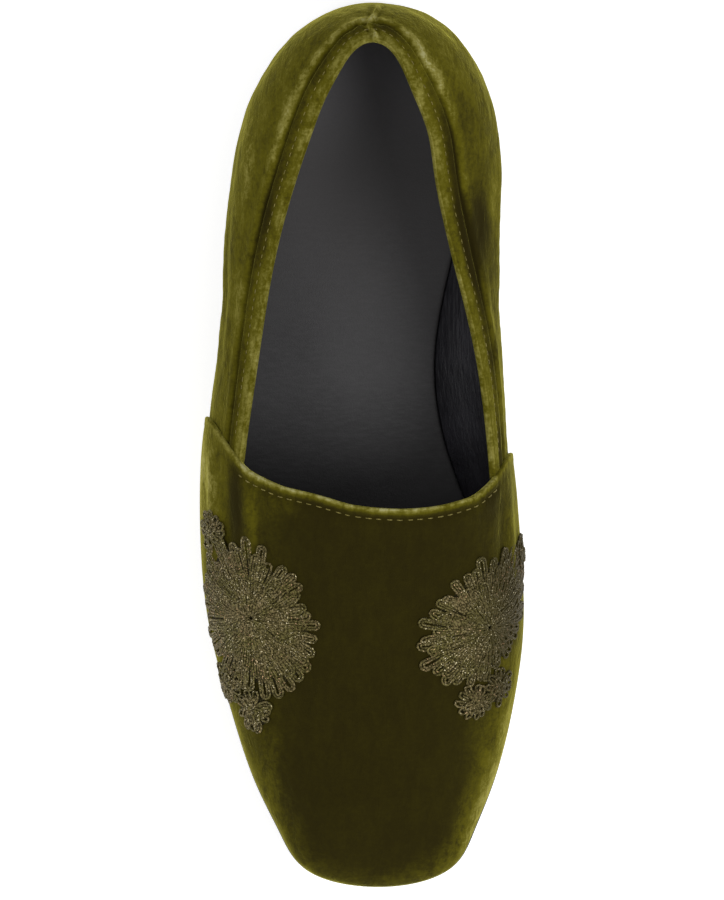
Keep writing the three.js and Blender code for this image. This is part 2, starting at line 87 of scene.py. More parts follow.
# Plan of the last and its walls, as shares of the ball width. Topline is the share of a rib,
# from the widest line to the ridge, at which the collar cuts it.
WALL_COLUMNS = ("at", "half", "inset", "widest", "topline")
WALLS = {
    LATERAL: [
        (0.0, 0.0, 0.037, 0.215, 0.325),
        (0.02, 0.187, 0.036, 0.213, 0.444),
        (0.065, 0.3125, 0.036, 0.205, 0.493),
        (0.13, 0.397, 0.038, 0.195, 0.476),
        (0.2, 0.438, 0.045, 0.185, 0.4),
        (0.3, 0.464, 0.058, 0.175, 0.272),
        (0.4, 0.4865, 0.062, 0.165, 0.194),
        (0.5, 0.522, 0.05, 0.15, 0.16),
        (0.6, 0.531, 0.033, 0.13, 0.16),
        (0.7, 0.5085, 0.026, 0.12, 0.16),
        (0.8, 0.442, 0.024, 0.114, 0.16),
        (0.88, 0.3705, 0.022, 0.112, 0.16),
        (0.94, 0.294, 0.022, 0.115, 0.16),
        (0.98, 0.221, 0.022, 0.118, 0.16),
        (1.0, 0.0, 0.022, 0.12, 0.16),
    ],
    MEDIAL: [
        (0.0, 0.0, 0.037, 0.215, 0.325),
        (0.02, 0.187, 0.037, 0.214, 0.486),
        (0.065, 0.306, 0.04, 0.21, 0.554),
        (0.13, 0.369, 0.048, 0.205, 0.532),
        (0.2, 0.385, 0.07, 0.21, 0.509),
        (0.3, 0.377, 0.118, 0.235, 0.377),
        (0.4, 0.386, 0.17, 0.25, 0.217),
        (0.5, 0.401, 0.152, 0.235, 0.145),
        (0.6, 0.423, 0.084, 0.185, 0.145),
        (0.7, 0.433, 0.036, 0.145, 0.145),
        (0.8, 0.3995, 0.026, 0.122, 0.145),
        (0.88, 0.343, 0.023, 0.115, 0.145),
        (0.94, 0.277, 0.022, 0.117, 0.145),
        (0.98, 0.211, 0.022, 0.119, 0.145),
        (1.0, 0.0, 0.022, 0.12, 0.145),
    ],
}

# Ridge of the last: at, height as a share of the back height or the instep height, and offset
# to the medial side as a share of the ball width
ANKLE_RIDGE = [
    (0.0, 1.24, 0.0),
    (0.05, 1.15, 0.0),
    (0.14, 1.02, 0.0),
    (0.25, 0.93, 0.018),
    (0.36, 0.9, 0.05),
    (0.46, 0.905, 0.068),
]
INSTEP_RIDGE = [
    (0.574, 1.01, 0.078),
    (0.65, 0.9, 0.074),
    (0.72, 0.795, 0.062),
    (0.8, 0.7, 0.044),
    (0.868, 0.63, 0.03),
    (0.93, 0.57, 0.022),
    (1.0, 0.49, 0.015),
]

# Heart of each flower as the solids have it: at is a share of the last's length, off a share of
# the ball width. Lean turns the long axis from the toe towards the ridge. A bud has its turn
# from the long axis towards the sole, and how far it is out over the bloom's edge. Angles are in
# degrees. Eye is the point that the petals spread from, in millimetres along the long axis and
# across it towards the sole. Soleward is how much further than the oval its petals reach there.
FLOWERS = {
    LATERAL: {"at": 0.694, "off": 0.375, "size": 1.0, "lean": 25, "eye": (0.0, 0.0),
              "soleward": 0.16, "buds": [(35, 0.38), (60, 0.36), (178, 0.05)]},
    MEDIAL: {"at": 0.698, "off": 0.313, "size": 0.87, "lean": 31, "eye": (1.0, 2.7),
             "soleward": 0.0, "buds": [(33, 0.38), (55, 0.38), (166, 0.08)]},
}
SIDE_NAMES = {LATERAL: "lateral", MEDIAL: "medial"}

rng = np.random.default_rng(11)


def smoothstep(value, low, high):
    t = np.clip((value - low) / (high - low), 0, 1)
    return t * t * (3 - 2 * t)


def fade(value, low, high):
    return 1 - smoothstep(value, low, high)


def lerp(a, b, t):
    return a + (b - a) * t


def unit(v):
    return v / np.linalg.norm(v, axis=-1, keepdims=True)


def bell(distance, width):
    return np.exp(-((distance / width) ** 2))


def bells(distance, rows):
    """Ridges and troughs along a line: height, distance from it and width of each."""
    return sum(height * bell(distance - at, width) for height, at, width in rows)


def natural_spline(x, y):
    """Natural cubic curve through points, read at any array of places."""
    x, y = np.asarray(x, float), np.asarray(y, float)
    step, count = np.diff(x), len(x)
    system, right = np.eye(count), np.zeros(count)
    for i in range(1, count - 1):
        system[i, i - 1:i + 2] = step[i - 1], 2 * (step[i - 1] + step[i]), step[i]
        right[i] = 6 * ((y[i + 1] - y[i]) / step[i] - (y[i] - y[i - 1]) / step[i - 1])
    bend = np.linalg.solve(system, right)

    def read(wanted):
        q = np.clip(wanted, x[0], x[-1])
        i = np.clip(np.searchsorted(x, q) - 1, 0, count - 2)
        a = (x[i + 1] - q) / step[i]
        b = 1 - a
        cubic = (a**3 - a) * bend[i] + (b**3 - b) * bend[i + 1]
        return a * y[i] + b * y[i + 1] + cubic * step[i] ** 2 / 6

    return read


# The last, as in the solids: half a turn runs from the back of the heel to the toe


def turn_of(at):
    return np.arccos(1 - 2 * np.clip(at, 0, 1))


def station_at(turn):
    return (1 - np.cos(turn)) / 2


# The curves of each side go on past the heel over the nearest rows of the other side
PLAN = {}
for hand, rows in WALLS.items():
    mine, beyond = np.array(rows), np.array(WALLS[-hand])[3:0:-1]
    turns = np.concatenate([-turn_of(beyond[:, 0]), turn_of(mine[:, 0])])
    for i, column in enumerate(WALL_COLUMNS[1:], 1):
        mirrored = -1 if column == "half" else 1
        values = np.concatenate([mirrored * beyond[:, i], mine[:, i]])
        PLAN[hand, column] = natural_spline(turns, values)


def plan(column, side, at):
    turn = turn_of(at)
    return np.where(side < 0, PLAN[LATERAL, column](turn), PLAN[MEDIAL, column](turn))


END_INSETS = float(plan("inset", LATERAL, 0.0) + plan("inset", LATERAL, 1.0))
LAST = LENGTH - 2 * SOLE_MARGIN + BALL * END_INSETS

# From the shoe's own origin, at the back of the last, to the origin of the frame
HEEL_END = SOLE_MARGIN - BALL * float(plan("inset", LATERAL, 0.0))
SHIFT = np.array([4.16, LENGTH / 2 - HEEL_END, 0.0])


def seat(y):
    at = -y / LAST
    heel_lift = HEEL_HEIGHT * fade(at, HEEL_BREAST, TREAD_START)
    toe_lift = TOE_SPRING * np.maximum(0, (at - TREAD_END) / (1 - TREAD_END)) ** 2
    return OUTSOLE + heel_lift + toe_lift


RIDGE = [(at, seat(0) + h * BACK_HEIGHT, off) for at, h, off in ANKLE_RIDGE]
RIDGE += [(at, OUTSOLE + h * INSTEP_HEIGHT, off) for at, h, off in INSTEP_RIDGE]
RIDGE = np.array(RIDGE)
ridge_height = natural_spline(RIDGE[:, 0], RIDGE[:, 1])
ridge_offset = natural_spline(RIDGE[:, 0], RIDGE[:, 2])


def crown(y):
    return ridge_height(-y / LAST)


def outline(side, at):
    x = side * BALL * plan("half", side, at)
    return np.stack(np.broadcast_arrays(x, -LAST * at), -1)


def inward(side, at):
    reach = 0.02
    turn = turn_of(at)
    before = outline(np.where(turn < reach, -side, side), station_at(turn - reach))
    after = outline(np.where(turn > np.pi - reach, -side, side), station_at(turn + reach))
    along = unit(after - before)
    return np.stack([along[..., 1] * side, -along[..., 0] * side], -1)


def feather(side, at, margin=0.0):
    inset = BALL * plan("inset", side, at) - margin
    return outline(side, at) + inward(side, at) * np.asarray(inset)[..., None]


def lean(side, at):
    return np.hypot(1, 2 * plan("inset", side, at) / plan("widest", side, at))


def rib(side, place):
    """One rib of the last for each pair of side and place: 0 heel, 1 side seam, 2 toe."""
    side, place = np.broadcast_arrays(np.asarray(side, float), np.asarray(place, float))
    side = np.where(place < 0, -side, side)
    place = np.abs(place)
    side = np.where(place > 2, -side, side)
    place = np.where(place > 2, 4 - place, place)
    seam = np.where(side < 0, SEAM_AT[LATERAL], SEAM_AT[MEDIAL])
    ahead = np.maximum(0, place - 1)
    back = np.minimum(place, 1)
    share = 1 - np.cos(back * np.pi / 2)
    at = np.where(place <= 1, seam * share, lerp(seam, 1, np.sin(ahead * np.pi / 2)))
    far = 1 - np.maximum(0, 1 - ahead / TOPS_END) ** 2
    before_throat = lerp(HEEL_POLE, THROAT, share**HEEL_CROWDING)
    end = np.where(place <= 1, before_throat, lerp(THROAT, TOE_POLE, far))
    sweep = np.where(place <= 1, back**2, np.maximum(0, 1 - ahead / SWEEP_ENDS) ** 2)
    foot = feather(side, at)
    base = seat(foot[..., 1]) + GAP
    return SimpleNamespace(
        side=side,
        at=at,
        sweep=1 + THROAT_SWEEP * sweep,
        foot=foot,
        base=base,
        start=outline(side, at),
        widest=base + BALL * plan("widest", side, at),
        top=np.stack([BALL * ridge_offset(end), -LAST * end], -1),
    )


def on_rib(r, level):
    """Point on a rib: level 0 is the feather line, 1 the widest line and 2 the ridge."""
    level = np.asarray(level, float)
    low = np.minimum(level, 1)
    tuck = (1 - low)[..., None] ** 2
    below = r.start + (r.foot - r.start) * tuck
    z_below = lerp(r.base, r.widest, low)
    angle = (np.maximum(level, 1) - 1) * np.pi / 2
    left = np.maximum(0, np.cos(angle)) ** (2 / DOME_POWER)
    rise = np.maximum(0, np.sin(angle)) ** (2 / DOME_POWER)
    y = lerp(r.top[..., 1], r.start[..., 1], left**r.sweep)
    x = lerp(r.top[..., 0], r.start[..., 0], left)
    z = lerp(r.widest, crown(y), rise)
    under = level <= 1
    return np.stack([
        np.where(under, below[..., 0], x),
        np.where(under, below[..., 1], y),
        np.where(under, z_below, z),
    ], -1)


def up_rib(r, level):
    reach = 0.01
    above = on_rib(r, np.minimum(2, level + reach))
    return unit(above - on_rib(r, np.maximum(0, level - reach)))


def normal_at(side, place, level):
    """Unit normal of the last, pointing out."""
    reach = 0.01
    capped = np.minimum(level, 2 - reach)
    along = on_rib(rib(side, place + reach), capped) - on_rib(rib(side, place - reach), capped)
    up = up_rib(rib(side, place), capped)
    normal = unit(np.cross(along, up) * -np.asarray(side, float)[..., None])
    y = rib(side, place).top[..., 1]
    slope = (crown(y - 1) - crown(y + 1)) / 2
    ridge = unit(np.stack(np.broadcast_arrays(0.0, slope, 1.0), -1))
    blend = np.clip((level - (2 - 3 * reach)) / (2 * reach), 0, 1)[..., None]
    return unit(lerp(normal, np.broadcast_to(ridge, normal.shape), blend))


def skin(side, place, level, out):
    """Points at a distance out of the last, with their normals."""
    point = on_rib(rib(side, place), level)
    normal = normal_at(side, place, level)
    return point + normal * np.asarray(out)[..., None], normal


def topline_level(r):
    left = 1 - plan("topline", r.side, r.at)
    return 1 + np.arccos(left ** (DOME_POWER / 2)) / (np.pi / 2)


FINE_LEVELS = np.linspace(1, 2, 161)


def rib_runs(side, places):
    """For each column, the distance up its rib from the widest line to each fine level."""
    r = rib(side[:, None], places[:, None])
    points = on_rib(r, np.broadcast_to(FINE_LEVELS, (len(places), len(FINE_LEVELS))))
    steps = np.linalg.norm(np.diff(points, axis=1), axis=-1)
    return np.concatenate([np.zeros((len(places), 1)), np.cumsum(steps, 1)], 1)


def levels_at(runs_of_column, runs):
    """Levels at given distances up each column's rib from its widest line."""
    pairs = zip(runs, runs_of_column)
    return np.array([np.interp(wanted, known, FINE_LEVELS) for wanted, known in pairs])


def run_at(runs_of_column, level):
    pairs = zip(level, runs_of_column)
    return np.array([np.interp(q, FINE_LEVELS, known) for q, known in pairs])


def up_to_topline(side, place):
    """The runs of each column, and how far up it the collar cuts it."""
    runs = rib_runs(side, place)
    return runs, run_at(runs, topline_level(rib(side, place)))


def wall_levels(lowest, count, place):
    """Levels of the rows under the widest line, the same for each column."""
    return np.broadcast_to(np.linspace(lowest, 1, count + 1)[:-1], (len(place), count))


def vamp_levels(side, place, rows, lowest, wall_rows):
    """Levels of columns that go up to the ridge, in even steps above the widest line."""
    runs = rib_runs(side, place)
    upper = levels_at(runs, runs[:, -1:] * np.linspace(0, 1, rows))
    upper[:, -1] = 2
    return np.concatenate([wall_levels(lowest, wall_rows, place), upper], 1)


# Soft folds of the cloth: a path over the skin through places and levels, its width and height
# in millimetres. A negative height is a trough. Beside each fold the cloth dips a little.
DIP_SHARE = 0.35
DIP_AWAY = 1.9
WAVES = 7
VAMP_FOLDS = [
    (LATERAL, (1.02, 1.12, 1.24), (1.2, 1.24, 1.25), 2.6, 0.5),
    (LATERAL, (1.03, 1.12, 1.22), (1.33, 1.36, 1.37), 2.2, -0.5),
    (LATERAL, (1.02, 1.1, 1.18), (1.44, 1.47, 1.47), 1.8, 0.4),
    (MEDIAL, (1.02, 1.12, 1.24), (1.22, 1.26, 1.28), 2.4, 0.45),
    (MEDIAL, (1.03, 1.14, 1.24), (1.36, 1.38, 1.38), 2.4, -0.45),
    (MEDIAL, (1.3, 1.45, 1.6), (1.2, 1.3, 1.32), 4.0, 0.35),
    (LATERAL, (1.45, 1.6, 1.75), (1.25, 1.3, 1.36), 4.0, -0.3),
]
QUARTER_FOLDS = [
    (MEDIAL, (0.06, 0.2, 0.34), (1.05, 1.1, 1.13), 2.2, 0.45),
    (MEDIAL, (0.3, 0.5, 0.72), (0.8, 0.9, 0.96), 3.2, -0.5),
    (MEDIAL, (0.42, 0.6, 0.8), (1.08, 1.1, 1.08), 2.2, 0.4),
    (LATERAL, (0.1, 0.28, 0.42), (1.02, 1.08, 1.1), 2.6, -0.4),
    (LATERAL, (0.4, 0.6, 0.8), (0.95, 1.0, 1.02), 3.0, 0.35),
    (LATERAL, (0.62, 0.8, 0.97), (1.12, 1.14, 1.13), 1.8, -0.35),
]
LINING_FOLDS = [
    (MEDIAL, (0.68, 0.76, 0.84), (0.4, 0.36, 0.4), 0.7, 0.4),
    (MEDIAL, (0.66, 0.76, 0.87), (0.52, 0.46, 0.5), 0.7, 0.5),
    (MEDIAL, (0.68, 0.78, 0.86), (0.62, 0.57, 0.62), 0.7, 0.45),
    (MEDIAL, (0.72, 0.8, 0.9), (0.72, 0.68, 0.7), 0.7, 0.4),
    (MEDIAL, (0.55, 0.66, 0.75), (0.8, 0.76, 0.84), 0.9, -0.4),
    (MEDIAL, (0.84, 0.92, 0.98), (0.85, 0.8, 0.84), 1.0, 0.4),
    (LATERAL, (0.7, 0.72, 0.72), (1.1, 0.7, 0.3), 1.2, 0.4),
    (LATERAL, (0.86, 0.87, 0.88), (1.1, 0.7, 0.3), 1.1, -0.35),
    (LATERAL, (0.3, 0.31, 0.3), (1.2, 0.7, 0.3), 1.4, 0.35),
]


def fold_relief(points, folds):
    """Height of all the folds at each point of a grid."""
    flat = points.reshape(-1, 3)
    total = np.zeros(len(flat))
    t = np.linspace(0, 1, 25)
    for side, places, levels, width, height in folds:
        place, level = (natural_spline(np.linspace(0, 1, len(k)), k)(t) for k in (places, levels))
        line = on_rib(rib(side, place), level)
        a, ab = line[:-1], np.diff(line, axis=0)
        along = np.einsum("nsk,sk->ns", flat[:, None] - a, ab) / (ab**2).sum(1)
        miss = flat[:, None] - (a + ab * np.clip(along, 0, 1)[..., None])
        distance = np.linalg.norm(miss, axis=-1)
        nearest = distance.argmin(1)
        pick = np.arange(len(flat)), nearest
        share = (nearest + np.clip(along[pick], 0, 1)) / len(a)
        d = distance[pick]
        ends = np.sin(np.pi * np.clip(share, 0, 1)) ** 0.7
        total += height * ends * (bell(d, width) - DIP_SHARE * bell(d - DIP_AWAY * width, width))
    return total.reshape(points.shape[:-1])


def ripples(points, size, height, seed):
    """Slow uneven waves over a surface, from a few sine waves in fixed random directions."""
    waves = np.random.default_rng(seed)
    total = np.zeros(points.shape[:-1])
    for _ in range(WAVES):
        direction = unit(waves.normal(size=3)) * 2 * np.pi / (size * waves.uniform(0.7, 1.6))
        total += np.sin(points @ direction + waves.uniform(0, 2 * np.pi))
    return total * height / WAVES


# Mesh helpers. Points nearer than WELD are joined and edges under LEAST_EDGE dropped, both in
# metres. CLEAR, in millimetres, keeps faces apart.

WELD = 2e-6
LEAST_EDGE = 1e-7
CLEAR = 0.02


def in_scene(name, data):
    made = bpy.data.objects.new(name, data)
    bpy.context.scene.collection.objects.link(made)
    return made


def mesh_piece(name, shape, material, weld=False, closed=False, values=None):
    """A piece from points in millimetres in the shoe's own frame and from its faces. Values are
    named numbers, one for each point, that its material reads."""
    points, faces = shape
    mesh = bpy.data.meshes.new(name)
    corners = (points + SHIFT) / 1000
    mesh.from_pydata(corners.tolist(), [], faces.tolist())
    for key, array in (values or {}).items():
        layer = mesh.attributes.new(key, "FLOAT", "POINT")
        layer.data.foreach_set("value", np.asarray(array, np.float32).ravel())
    if weld:
        solid = bmesh.new()
        solid.from_mesh(mesh)
        bmesh.ops.remove_doubles(solid, verts=solid.verts, dist=WELD)
        bmesh.ops.dissolve_degenerate(solid, edges=solid.edges, dist=LEAST_EDGE)
        if closed:
            bmesh.ops.recalc_face_normals(solid, faces=solid.faces)
        solid.to_mesh(mesh)
        solid.free()
    mesh.polygons.foreach_set("use_smooth", [True] * len(mesh.polygons))
    mesh.materials.append(material)
    mesh.validate()
    piece = in_scene(name, mesh)
    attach(piece, "root")
    return piece


def grid(points, closed=False, inside=False):
    """Points of a sheet, column by column, and its quads. These face out of the shoe where the
    columns go round it from heel to toe on the lateral side."""
    columns, rows = points.shape[:2]
    here = np.arange(columns if closed else columns - 1)
    after = (here + 1) % columns
    row = np.arange(rows - 1)
    a = after[:, None] * rows + row
    b = here[:, None] * rows + row
    quads = np.stack([a, a + 1, b + 1, b], -1).reshape(-1, 4)
    return points.reshape(-1, 3), quads[:, ::-1] if inside else quads


def joined(parts):
    """Several shapes, each of points and faces, as one."""
    points, faces = zip(*parts)
    firsts = np.cumsum([0, *map(len, points)])
    return np.concatenate(points), np.concatenate([f + n for f, n in zip(faces, firsts)])


def tucked_row(points, side, place, reach):
    """The lowest row of a sheet, turned in between upper and sole."""
    row = points[:, :1].copy()
    row[:, 0, :2] += inward(side, rib(side, place).at) * reach
    row[:, 0, 2] = seat(row[:, 0, 1]) + CLEAR
    return row


def around(end, count):
    """Sides and places of columns from the medial end, round the heel, to the lateral end."""
    turns = np.linspace(0, 1, count + 1)
    places = end * turns
    side = np.concatenate([np.full(count, MEDIAL), np.full(count + 1, LATERAL)])
    return side, np.concatenate([places[:0:-1], places])


def over_toe(count):
    """Sides and places of the vamp's columns from the lateral seam, round the toe, and back."""
    steps = np.linspace(0, 1, count + 1)
    places = 1 + lerp(steps**1.6, steps, 0.55)
    side = np.concatenate([np.full(count + 1, LATERAL), np.full(count, MEDIAL)])
    return side, np.concatenate([places, places[-2::-1]])


# Materials


class Look:
    """A material under construction. Sizes of its patterns are in millimetres."""

    def __init__(self, name, values):
        self.material = bpy.data.materials.new(name)
        self.material.use_nodes = True
        self.nodes = self.material.node_tree.nodes
        self.links = self.material.node_tree.links
        self.shader = self.nodes["Principled BSDF"]
        for socket, value in values.items():
            self.shader.inputs[socket].default_value = value
        self.place = self.add("TexCoord").outputs["Object"]

    def add(self, kind, inputs=None, **settings):
        node = self.nodes.new("ShaderNode" + kind)
        for key, value in settings.items():
            setattr(node, key, value)
        for key, value in (inputs or {}).items():
            if isinstance(value, bpy.types.NodeSocket):
                self.links.new(value, node.inputs[key])
            else:
                node.inputs[key].default_value = value
        return node

    def scaled(self, size, stretch=(1, 1, 1), turn=(0, 0, 0)):
        scale = [1000 / (size * s) for s in stretch]
        turned = self.add("Mapping", {"Vector": self.place, "Rotation": turn})
        return self.add("Mapping", {"Vector": turned.outputs[0], "Scale": scale}).outputs[0]

    def noise(self, size, detail=2.0, rough=0.5, stretch=(1, 1, 1), turn=(0, 0, 0), warp=0.0):
        settings = {"Vector": self.scaled(size, stretch, turn), "Scale": 1.0, "Detail": detail}
        settings.update({"Roughness": rough, "Distortion": warp})
        return self.add("TexNoise", settings).outputs["Fac"]

    def clouds(self, low, high, *pattern, **settings):
        """Noise, cut to what lies between two levels of it."""
        return self.spread(self.noise(*pattern, **settings), low, high)

    def value(self, name):
        return self.add("Attribute", attribute_name=name).outputs["Fac"]

    def spread(self, value, low, high, to_low=0.0, to_high=1.0):
        settings = {"Value": value, "From Min": low, "From Max": high}
        settings.update({"To Min": to_low, "To Max": to_high})
        return self.add("MapRange", settings, interpolation_type="SMOOTHSTEP").outputs[0]

    def math(self, operation, a, b=0.0):
        return self.add("Math", {0: a, 1: b}, operation=operation).outputs[0]

    def mix(self, share, a, b):
        return self.add("Mix", {0: share, 6: a, 7: b}, data_type="RGBA").outputs[2]

    def shade(self, value, colour, *steps):
        """A colour that turns into others as a value grows: from where, up to where, colour."""
        for low, high, other in steps:
            colour = self.mix(self.spread(value, low, high), colour, srgb(*other))
        return colour

    def bump(self, height, depth, under=None):
        settings = {"Height": height, "Distance": depth / 1000, "Strength": 1.0}
        if under is not None:
            settings["Normal"] = under
        return self.add("Bump", settings).outputs[0]

    def finish(self, **sockets):
        for key, source in sockets.items():
            self.links.new(source, self.shader.inputs[key.replace("_", " ")])
        return self.material


def srgb(red, green, blue):
    """A colour given as it looks on screen, from 0 to 255."""
    parts = [c / 255 for c in (red, green, blue)]
    linear = [c / 12.92 if c <= 0.04045 else ((c + 0.055) / 1.055) ** 2.4 for c in parts]
    return (*linear, 1.0)


def velvet_look():
    """Velvet is dark where its pile stands and light where it is brushed down, with painted
    highlights on rims, ridges and steep sides and painted shade in grooves.
    """
    look = Look("velvet", {
        "Roughness": 0.95,
        "Specular IOR Level": 0.04,
        "Sheen Weight": 0.9,
        "Sheen Roughness": 0.3,
        "Sheen Tint": srgb(190, 184, 74),
    })
    streaks = look.clouds(0.3, 0.7, 6, 3, 0.65, stretch=(0.6, 2.2, 1), warp=0.4)
    patterns = [
        (0.34, look.clouds(0.3, 0.7, 17, 3, 0.6, warp=0.6)),
        (0.24, streaks),
        (0.36, look.clouds(0.38, 0.62, 4.2, 4, 0.7, stretch=(0.8, 1.5, 1), warp=0.5)),
        (0.26, look.clouds(0.36, 0.66, 1.3, 3, 0.7)),
        (0.16, look.clouds(0.36, 0.66, 0.8, 2, 0.6, stretch=(3.2, 0.8, 0.8))),
    ]
    uneven = 0.28
    for share, pattern in patterns:
        uneven = look.math("ADD", look.math("MULTIPLY", pattern, share), uneven)
    # Painted light: the level mixes brushed nap with painted highlights and shade, and its palest
    # colour is a painted highlight.
    nap_and_sheen_level = look.math("MULTIPLY", look.value("nap_and_sheen"), uneven)
    colour = look.shade(nap_and_sheen_level, srgb(35, 30, 7), (0.0, 0.58, (80, 75, 13)),
                        (0.5, 1.02, (122, 116, 54)), (0.9, 1.35, (150, 146, 98)))
    rows = look.noise(0.9, 1, 0.5, stretch=(6, 0.55, 0.55))
    pile = look.noise(0.42, 2, 0.6, stretch=(1, 1.6, 1))
    height = look.bump(streaks, 0.2, look.bump(pile, 0.07, look.bump(rows, 0.07)))
    return look.finish(Base_Color=colour, Normal=height)


def thread_look():
    look = Look("embroidery cord", {
        "Specular IOR Level": 0.3,
        "Specular Tint": srgb(214, 190, 130),
        "Sheen Weight": 0.15,
        "Sheen Roughness": 0.4,
        "Sheen Tint": srgb(170, 150, 90),
    })
    body = look.mix(look.clouds(0.36, 0.66, 5, 2, 0.6), srgb(104, 98, 56), srgb(122, 110, 76))
    # Painted shade: the cord darkens, and its glints dim, towards the medial edge of the shoe, where
    # the flower lies in shade.
    across = look.add("SeparateXYZ", {"Vector": look.place}).outputs["X"]
    body = look.shade(across, body, (0.025, 0.043, (52, 47, 26)))
    body = look.mix(look.clouds(0.42, 0.62, 0.55, 3, 0.7), srgb(40, 37, 15), body)
    painted_shade_on_glints = look.spread(across, 0.022, 0.042, 1.0, 0.45)
    glint = look.math("MULTIPLY", look.clouds(0.66, 0.72, 0.42, 1, 0.5), painted_shade_on_glints)
    copper = look.clouds(0.5, 0.6, 6, 1, 0.5)
    colour = look.mix(glint, body, look.mix(copper, srgb(226, 214, 176), srgb(204, 164, 128)))
    metallic = look.math("MULTIPLY", glint, 0.6)
    rough = look.spread(glint, 0.0, 1.0, 0.6, 0.34)
    normal = look.bump(look.noise(0.22, 2, 0.6, stretch=(1, 1, 2)), 0.08)
    return look.finish(Base_Color=colour, Metallic=metallic, Roughness=rough, Normal=normal)


def ground_look():
    look = Look("embroidery ground", {"Roughness": 0.9, "Specular IOR Level": 0.08})
    strands = look.noise(0.5, 2, 0.6, stretch=(1, 2.5, 1), turn=(0, 0, 0.5))
    # Painted shade: near-black strands, darker than the cords, stand for the shade in the gaps
    # between the loops.
    colour = look.shade(strands, srgb(20, 18, 5), (0.4, 0.68, (50, 45, 22)))
    return look.finish(Base_Color=colour, Normal=look.bump(strands, 0.3))


def stitch_look():
    look = Look("stitching", {"Roughness": 0.6, "Specular IOR Level": 0.3})
    colour = look.mix(look.clouds(0.35, 0.65, 0.4, 2, 0.6), srgb(78, 71, 24), srgb(128, 117, 56))
    return look.finish(Base_Color=colour, Normal=look.bump(look.noise(0.2), 0.05))


def lining_look():
    look = Look("lining", {"Specular IOR Level": 0.32})
    colour = look.mix(look.clouds(0.35, 0.7, 14, 3, 0.6), srgb(27, 26, 30), srgb(40, 39, 44))
    grain = look.noise(0.35, 2, 0.6)
    wrinkle = look.noise(1.2, 3, 0.6, stretch=(0.8, 6, 0.8))
    normal = look.bump(grain, 0.05, look.bump(wrinkle, 0.55))
    rough = look.spread(grain, 0.3, 0.7, 0.5, 0.66)
    return look.finish(Base_Color=colour, Roughness=rough, Normal=normal)


def insole_look():
    """Leather with painted light that makes it lighter towards the heel, where the heel's walls shade
    it.
    """
    look = Look("insole leather", {"Specular IOR Level": 0.35})
    colour = look.mix(look.clouds(0.35, 0.7, 30, 3, 0.55), srgb(46, 45, 46), srgb(53, 52, 53))
    cross = look.noise(1.1, 3, 0.6, stretch=(3, 0.8, 1))
    colour = look.shade(cross, colour, (0.3, 0.9, (58, 57, 58)))
    # Painted light: lighter towards the heel, to lift the shade that the heel's walls cast there.
    along = look.add("SeparateXYZ", {"Vector": look.place}).outputs["Y"]
    colour = look.shade(along, colour, (0.02, 0.09, (67, 65, 65)), (0.075, 0.12, (104, 102, 104)))
    pores = look.noise(0.45, 2, 0.6)
    normal = look.bump(pores, 0.05, look.bump(cross, 0.03))
    rough = look.spread(pores, 0.3, 0.7, 0.5, 0.64)
    return look.finish(Base_Color=colour, Roughness=rough, Normal=normal)


def sole_look():
    look = Look("sole", {"Specular IOR Level": 0.4})
    scuffs = look.clouds(0.55, 0.8, 5, 4, 0.7, stretch=(1, 3, 1))
    colour = look.mix(scuffs, srgb(31, 31, 33), srgb(58, 57, 58))
    rough = look.spread(scuffs, 0.0, 1.0, 0.5, 0.78)
    normal = look.bump(look.noise(0.8, 2, 0.6), 0.12)
    return look.finish(Base_Color=colour, Roughness=rough, Normal=normal)


VELVET = velvet_look()
THREAD = thread_look()
GROUND = ground_look()
STITCH = stitch_look()
LINING = lining_look()
LEATHER = insole_look()
RUBBER = sole_look()

# Quarters: velvet from the sole up over the rim of the collar and a little way down inside

QUARTER_COLUMNS = 230
QUARTER_END = 1.03
STITCH_LINE = 3.2
RIM_REACH = 0.6
RIM_DEPTH = 1.6
UNDER_VAMP = 0.5
QUARTER_TUCK = 1.2
WALL_ROWS = 12
EVEN_ROWS = 13

# Distances of rows below the topline: close ones near it on the outside, and the rows inside the
# shoe with how deep they lie under the face of the last
NEAR_TOPLINE = np.concatenate([np.arange(0, 9.6, 0.4), [10.6, 12.0]])
TURNED_IN = np.array([
    (0.8, RIM_DEPTH + 0.08),
    (1.6, RIM_DEPTH + 0.22),
    (2.4, WALL + 0.05),
    (3.0, WALL + 0.05),
    (3.1, WALL - 0.4),
])

# Lines along the collar: height in one table, painted light and shade in the others, with distance
# below the topline and width. The groove under the band, the line that the stitches draw in, and the
# seam allowance show in both: painted highlights on the rim, the seam allowance's ridge and the back
# seam, and painted shade beside the stitch line and in the groove.
BAND_RELIEF = [
    (-0.55, BAND_WIDTH + 0.25, 0.6),
    (-0.3, STITCH_LINE, 0.6),
    (0.42, BAND_WIDTH + 2.4, 1.4),
]
BAND_LIGHT_AND_SHADE = [
    (0.3, 1.0, 1.5),
    (-0.22, STITCH_LINE + 1.4, 1.4),
    (-0.25, BAND_WIDTH + 0.2, 0.7),
]
ALLOWANCE_HIGHLIGHT = [(0.38, BAND_WIDTH + 2.4, 1.5)]
BACK_SEAM_HIGHLIGHT = [(0.5, 0.0, 0.9)]
# Level of the quarters, partly painted sheen that makes their walls lighter than the vamp's top, and
# the painted highlight on the collar's rolled rim and the rows inside it
QUARTER_NAP_AND_SHEEN = 0.45
RIM_HIGHLIGHT = 0.76

